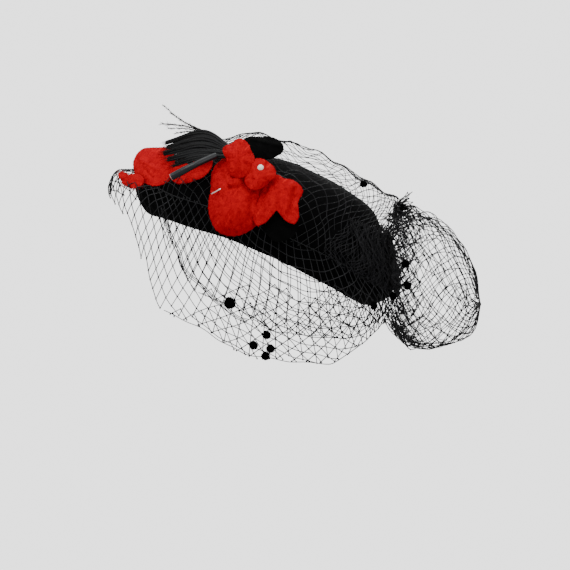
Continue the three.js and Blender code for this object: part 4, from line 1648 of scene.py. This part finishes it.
@dataclass
class Quills(HatPart):
    """The fan of cut quills, the rolled quill and the feather."""

    ACROSS = unit(np.array([-0.45, 0, 1]))
    seed: int = 1948
    wall: float = 0.55
    strand_count: int = 16
    strand_steps: int = 8
    barb_count: int = 180

    def build(self) -> None:
        """Makes the quills, the rolled quill and the feather."""
        for k, spec in enumerate(QUILLS):
            self.flat_quill(spec, k)
        self.rolled_quill()
        self.feather()

    def strip_at(self, spec: QuillSpec, across: np.ndarray, along: np.ndarray,
                 seed: float) -> np.ndarray:
        """Gives points of a flat quill.

        Args:
            spec: The quill.
            across: From -1 at its lower edge to 1 at its upper edge.
            along: From 0 at its root to 1 at its tip.
            seed: Shifts its waves, so that no two are alike.

        Returns:
            The points.
        """
        path = np.array([spec.root, spec.belly, spec.tip])
        middle = spline(path, along)
        run = heading(path, along)
        out = unit(np.cross(self.ACROSS, run))
        out *= np.sign(out[..., :1])
        first, widest, last = spec.widths
        ends = first + (last - first) * along
        width = ends + (widest - ends) * np.sin(math.pi * along)
        width *= 1.25 + 0.08 * np.sin(14 * along + seed)
        bow = spec.curl * (1 - across**2) + 0.35 * np.sin(9 * along + 2 * across + seed)
        bow += 0.3 * np.cos(9.4 * across + seed + 1.5 * along)
        ragged = np.where(along > 0.98, 0.9 * np.sin(7 * across + seed), 0)
        return (middle + self.ACROSS * (across * width / 2)[..., None] + out * bow[..., None]
                + run * ragged[..., None])

    def flat_quill(self, spec: QuillSpec, number: int) -> None:
        """Models one flat quill and the fine strands that have split from it.

        Args:
            spec: The quill.
            number: Its place in the fan.
        """
        seed = 1.7 * number
        piece = sheet_from_grid(
            spec.name + "_ribbon", 11, 41,
            lambda u, v: self.strip_at(spec, 2 * u - 1, v, seed), self.finishes.quill, self.wall)
        settle(piece, Slot.QUILL, spec.name)
        across = self.chance.uniform(-1, 1, self.strand_count)[:, None]
        start = self.chance.uniform(0.35, 0.8, self.strand_count)[:, None]
        share = np.linspace(0, 1, self.strand_steps)
        along = start + (1.02 - start) * share
        lines = self.strip_at(spec, across + 0 * along, np.minimum(along, 1), seed)
        stray = self.chance.normal(0, 1.6, (self.strand_count, 3)) + [1.2, -2.0, -1.0]
        lines = lines + stray[:, None] * (share**2)[None, :, None]
        points, quads = tubes(lines, np.linspace(0.24, 0.08, self.strand_steps))
        strands = loose_mesh(spec.name + "_strands", points, quads.tolist(), self.finishes.feather)
        settle(strands, Slot.QUILL)

    def rolled_quill(self) -> None:
        """Models the rolled quill as a hollow tube with its pale cut end."""
        def ring(turn: np.ndarray, along: np.ndarray, radius: np.ndarray) -> np.ndarray:
            """Gives points of the roll.

            Args:
                turn: Angles round it.
                along: From 0 at its root to 1 at its open end.
                radius: How far out they lie, in millimetres.

            Returns:
                The points.
            """
            middle = spline(ROLLED_PATH, along)
            run = heading(ROLLED_PATH, along)
            side = unit(np.cross(run, np.array([0.0, 0.0, 1.0])))
            over = np.cross(side, run)
            return (middle + side * (radius * np.cos(turn))[..., None]
                    + over * (radius * np.sin(turn))[..., None])

        tube = sheet_from_grid(
            "quill_rolled_tube", 33, 41,
            lambda u, v: ring(2 * math.pi * u, v,
                              ROLLED_ROUND * (1.02 - 0.25 * (1 - v) + 0.03 * np.sin(11 * v))),
            self.finishes.rolled_quill, ROLLED_WALL, -1)
        settle(tube, Slot.QUILL, "quill_rolled")
        bpy.ops.mesh.primitive_torus_add(
            major_radius=0.0026, minor_radius=0.00055, major_segments=36, minor_segments=10)
        rim = claim("quill_rolled_rim", self.finishes.quill_edge)
        run = ROLLED_PATH[2] - spline(ROLLED_PATH, np.array([0.97]))[0]
        rim.rotation_euler = Vector(run).to_track_quat("Z", "Y").to_euler()
        rim.location = Vector(ROLLED_PATH[2] * MM)
        smooth(rim)
        settle(rim, Slot.QUILL)

    def feather(self) -> None:
        """Models the feather: tapered wisps, each with fine barbs, from one knot."""
        share = np.linspace(0, 1, 26)
        parts = []
        for bend, tip, thick in WISPS:
            path = np.array([FEATHER_HEAD, bend, tip], float)
            parts.append(tubes(spline(path, share)[None], thick * 0.62 * (1 - 0.85 * share), 5))
            parts.append(tubes(self.barbs(path, thick), np.linspace(0.19, 0.06, 4)))
        piece = loose_mesh("feather_wisps", *merge(parts), self.finishes.feather)
        bpy.ops.mesh.primitive_uv_sphere_add(segments=20, ring_count=12, radius=0.0022,
                                             location=Vector(FEATHER_HEAD) * MM)
        knot = claim("feather_knot", self.finishes.feather)
        smooth(knot)
        settle(join([piece, knot]), Slot.FEATHER, "feather")

    def barbs(self, path: np.ndarray, thick: float) -> np.ndarray:
        """Gives the fine barbs along a wisp, pressed close to it.

        Args:
            path: The wisp's head, bend and tip.
            thick: The wisp's thickness, which their length follows.

        Returns:
            The barbs' points, by barb and step.
        """
        start = self.chance.uniform(0.08, 0.98, self.barb_count)
        foot = spline(path, start)
        run = heading(path, start, 0.02)
        stray = self.chance.normal(0, 0.28, (self.barb_count, 3))
        length = self.chance.uniform(1.5, 4.5, self.barb_count)[:, None] * thick
        tip = foot + unit(run + stray) * length
        bend = foot + (tip - foot) * 0.5 + run * length * 0.08
        share = np.linspace(0, 1, 4)[None, :, None]
        return ((1 - share) ** 2 * foot[:, None] + 2 * share * (1 - share) * bend[:, None]
                + share**2 * tip[:, None])


@dataclass
class Crown(HatPart):
    """The stiff velvet crown, with puckers over the forehead and its edge turned in."""

    wall: float = 2.0
    gores: int = 8
    pucker: float = 1.5

    def build(self) -> None:
        """Makes the crown."""
        rows = np.vstack([LIP_ROWS, CROWN_ROWS])

        def at(u: np.ndarray, v: np.ndarray) -> np.ndarray:
            """Gives points of the shell.

            Args:
                u: From 0 to 1 round the crown, from the front.
                v: From 0 at the edge turned in to 1 at the crest.

            Returns:
                The points.
            """
            turn = 2 * math.pi * u
            place = v * (len(rows) - 1)
            points = ring_points(row_at(rows, place), turn)
            front = np.clip((np.cos(turn) - 0.45) / 0.55, 0, 1)
            low = np.clip((5.2 - place) / 3.2, 0, 1) * np.clip(place - 0.5, 0, 1)
            pleat = np.sin(58 * turn + 1.4 * np.sin(9 * turn) + 0.7 * place)
            points[:, 1] -= self.pucker * front * low * pleat
            return worn(wander(points, 0.5, 30))

        shell = sheet_from_grid("crown_velvet", 289, 61, at, self.finishes.black_velvet,
                                self.wall, -1, 0)
        gores = [f"crown_gore_{number + 1}" for number in range(self.gores)]
        settle(shell, Slot.VELVET, *gores, "crown_crest")


@dataclass
class Trimmings(HatPart):
    """The pearl-headed pin and the chenille dots on the net."""

    # Dots that are larger than their solid.
    GROWTH = {"dot_cheek": 1.35}
    seed: int = 1949
    wire_shown: float = 0.4
    hairs: int = 900

    def build(self) -> None:
        """Makes the pin and the dots."""
        self.pin()
        pattern = self.chenille_ball()
        for node in sorted(o.name for o in bpy.data.objects if o.name.startswith("dot_")):
            self.dot(pattern, node)
        bpy.data.objects.remove(pattern)

    def pin(self) -> None:
        """Models the pearl and the wire that it sits on."""
        low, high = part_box("pin_head")
        bpy.ops.mesh.primitive_uv_sphere_add(segments=40, ring_count=24, radius=0.0029,
                                             location=(low + high) / 2)
        pearl = claim("pin_pearl", self.finishes.pearl)
        smooth(pearl)
        settle(pearl, Slot.PEARL, "pin_head")
        low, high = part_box("pin_shaft")
        start, end = Vector((high.x, low.y, low.z)), Vector((low.x, high.y, high.z))
        end = start.lerp(end, self.wire_shown)
        bpy.ops.mesh.primitive_cylinder_add(vertices=16, radius=0.0006, depth=(end - start).length,
                                            location=(start + end) / 2)
        wire = claim("pin_wire", self.finishes.wire)
        wire.rotation_euler = (end - start).to_track_quat("Z", "Y").to_euler()
        smooth(wire)
        settle(wire, Slot.STEEL, "pin_shaft")

    def chenille_ball(self) -> bpy.types.Object:
        """Models one fuzzy chenille ball of unit size round the origin.

        Returns:
            The ball.
        """
        bpy.ops.mesh.primitive_ico_sphere_add(subdivisions=4, radius=0.8)
        ball = claim("chenille_pattern", self.finishes.chenille)
        out = unit(self.chance.normal(0, 1, (self.hairs, 3)))
        tip = out * self.chance.uniform(0.9, 1.12, self.hairs)[:, None]
        tip = tip + self.chance.normal(0, 0.08, (self.hairs, 3))
        lines = np.stack([out * 0.7, (out * 0.95 + tip) / 2, tip], axis=1) / MM
        points, quads = tubes(lines, np.array([55.0, 45.0, 12.0]))
        hairs = loose_mesh("dot_hairs", points, quads.tolist(), self.finishes.chenille)
        smooth(ball)
        return join([ball, hairs])

    def dot(self, pattern: bpy.types.Object, node: str) -> None:
        """Copies the chenille ball to the place of one dot.

        Args:
            pattern: The ball of unit size.
            node: The dot's solid.
        """
        low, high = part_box(node)
        copy = pattern.copy()
        copy.data = pattern.data.copy()
        copy.name = copy.data.name = node.replace("dot_", "chenille_")
        bpy.context.scene.collection.objects.link(copy)
        copy.scale = (high - low) / 2 * self.GROWTH.get(node, 1.0)
        copy.location = (low + high) / 2
        settle(copy, Slot.CHENILLE, node)


@dataclass
class Studio:
    """The white backdrop, the lights and the camera at the photograph's view."""

    TARGET = Vector((-0.000203, 0.023146, -0.025343))
    azimuth: float = math.radians(96)
    elevation: float = math.radians(5)
    distance: float = 1.6
    lens: float = 105.26
    sensor: float = 36
    seen_glow: float = 2.4

    def build(self) -> None:
        """Makes the studio."""
        self.backdrop()
        self.world()
        for name, place, size, power in (
            ("key", (1.1, -0.9, 1.5), 1.2, 26), ("fill", (1.4, 1.1, 0.5), 1.4, 13),
            ("top", (0.0, 0.0, 1.8), 1.4, 18), ("back", (-1.3, 0.3, 0.9), 1.2, 14),
        ):
            self.lamp(name, Vector(place), size, power)
        self.camera()

    def backdrop(self) -> None:
        """Adds a pale floor far below and around."""
        bpy.ops.mesh.primitive_plane_add(size=30, location=(0, 0, -1.2))
        floor = claim("floor", bpy.data.materials.new("backdrop"))
        floor.active_material.use_nodes = True
        desk = NodeDesk(floor.active_material.node_tree)
        glow = desk.add("ShaderNodeEmission", Color=(1, 1, 1, 1))
        self.brighten(desk, glow, 0.6)
        desk.wire(glow.outputs["Emission"], desk.add("ShaderNodeOutputMaterial").inputs["Surface"])

    def world(self) -> None:
        """Sets an even white world, which the camera sees brighter than the hat does."""
        world = bpy.data.worlds.new("white")
        bpy.context.scene.world = world
        world.use_nodes = True
        desk = NodeDesk(world.node_tree)
        sky = desk.add("ShaderNodeBackground", Color=(1, 1, 1, 1))
        self.brighten(desk, sky, 0.75)
        desk.wire(sky.outputs["Background"], desk.add("ShaderNodeOutputWorld").inputs["Surface"])

    def brighten(self, desk: NodeDesk, glow: bpy.types.Node, light: float) -> None:
        """Gives a glow its strength: one for what it lights and another for the camera.

        Args:
            desk: The desk on the glow's tree.
            glow: The glowing node.
            light: Its strength for everything but the camera.
        """
        seen = desk.add("ShaderNodeLightPath").outputs["Is Camera Ray"]
        strength = desk.add("ShaderNodeMapRange", To_Min=light, To_Max=self.seen_glow)
        desk.wire(seen, strength.inputs["Value"])
        desk.wire(strength.outputs["Result"], glow.inputs["Strength"])

    def lamp(self, name: str, place: Vector, size: float, power: float) -> None:
        """Adds a soft area light that looks at the hat.

        Args:
            name: Its name.
            place: Where it stands, in metres.
            size: Its width in metres.
            power: Its power in watts.
        """
        data = bpy.data.lights.new(name, "AREA")
        data.size, data.energy = size, power
        lamp = bpy.data.objects.new(name, data)
        bpy.context.scene.collection.objects.link(lamp)
        lamp.location = place
        lamp.rotation_euler = (self.TARGET - place).to_track_quat("-Z", "Y").to_euler()

    def camera(self) -> None:
        """Adds the camera where the photograph was taken from."""
        out = Vector((math.cos(self.elevation) * math.sin(self.azimuth),
                      -math.cos(self.elevation) * math.cos(self.azimuth), math.sin(self.elevation)))
        data = bpy.data.cameras.new("view")
        data.lens, data.sensor_width = self.lens, self.sensor
        camera = bpy.data.objects.new("view", data)
        bpy.context.scene.collection.objects.link(camera)
        camera.location = self.TARGET + out * self.distance
        camera.rotation_euler = (-out).to_track_quat("-Z", "Y").to_euler()
        bpy.context.scene.camera = camera


def main() -> None:
    """Makes the hat and its studio."""
    logging.basicConfig(level=logging.INFO, format="%(name)s: %(message)s")
    finishes = Wardrobe()
    for maker in (Crown, CrownNet, HangingNet, Gather, Pouf, Posy, Quills, Trimmings):
        maker(finishes).build()
    Studio().build()


if __name__ == "__main__":
    main()
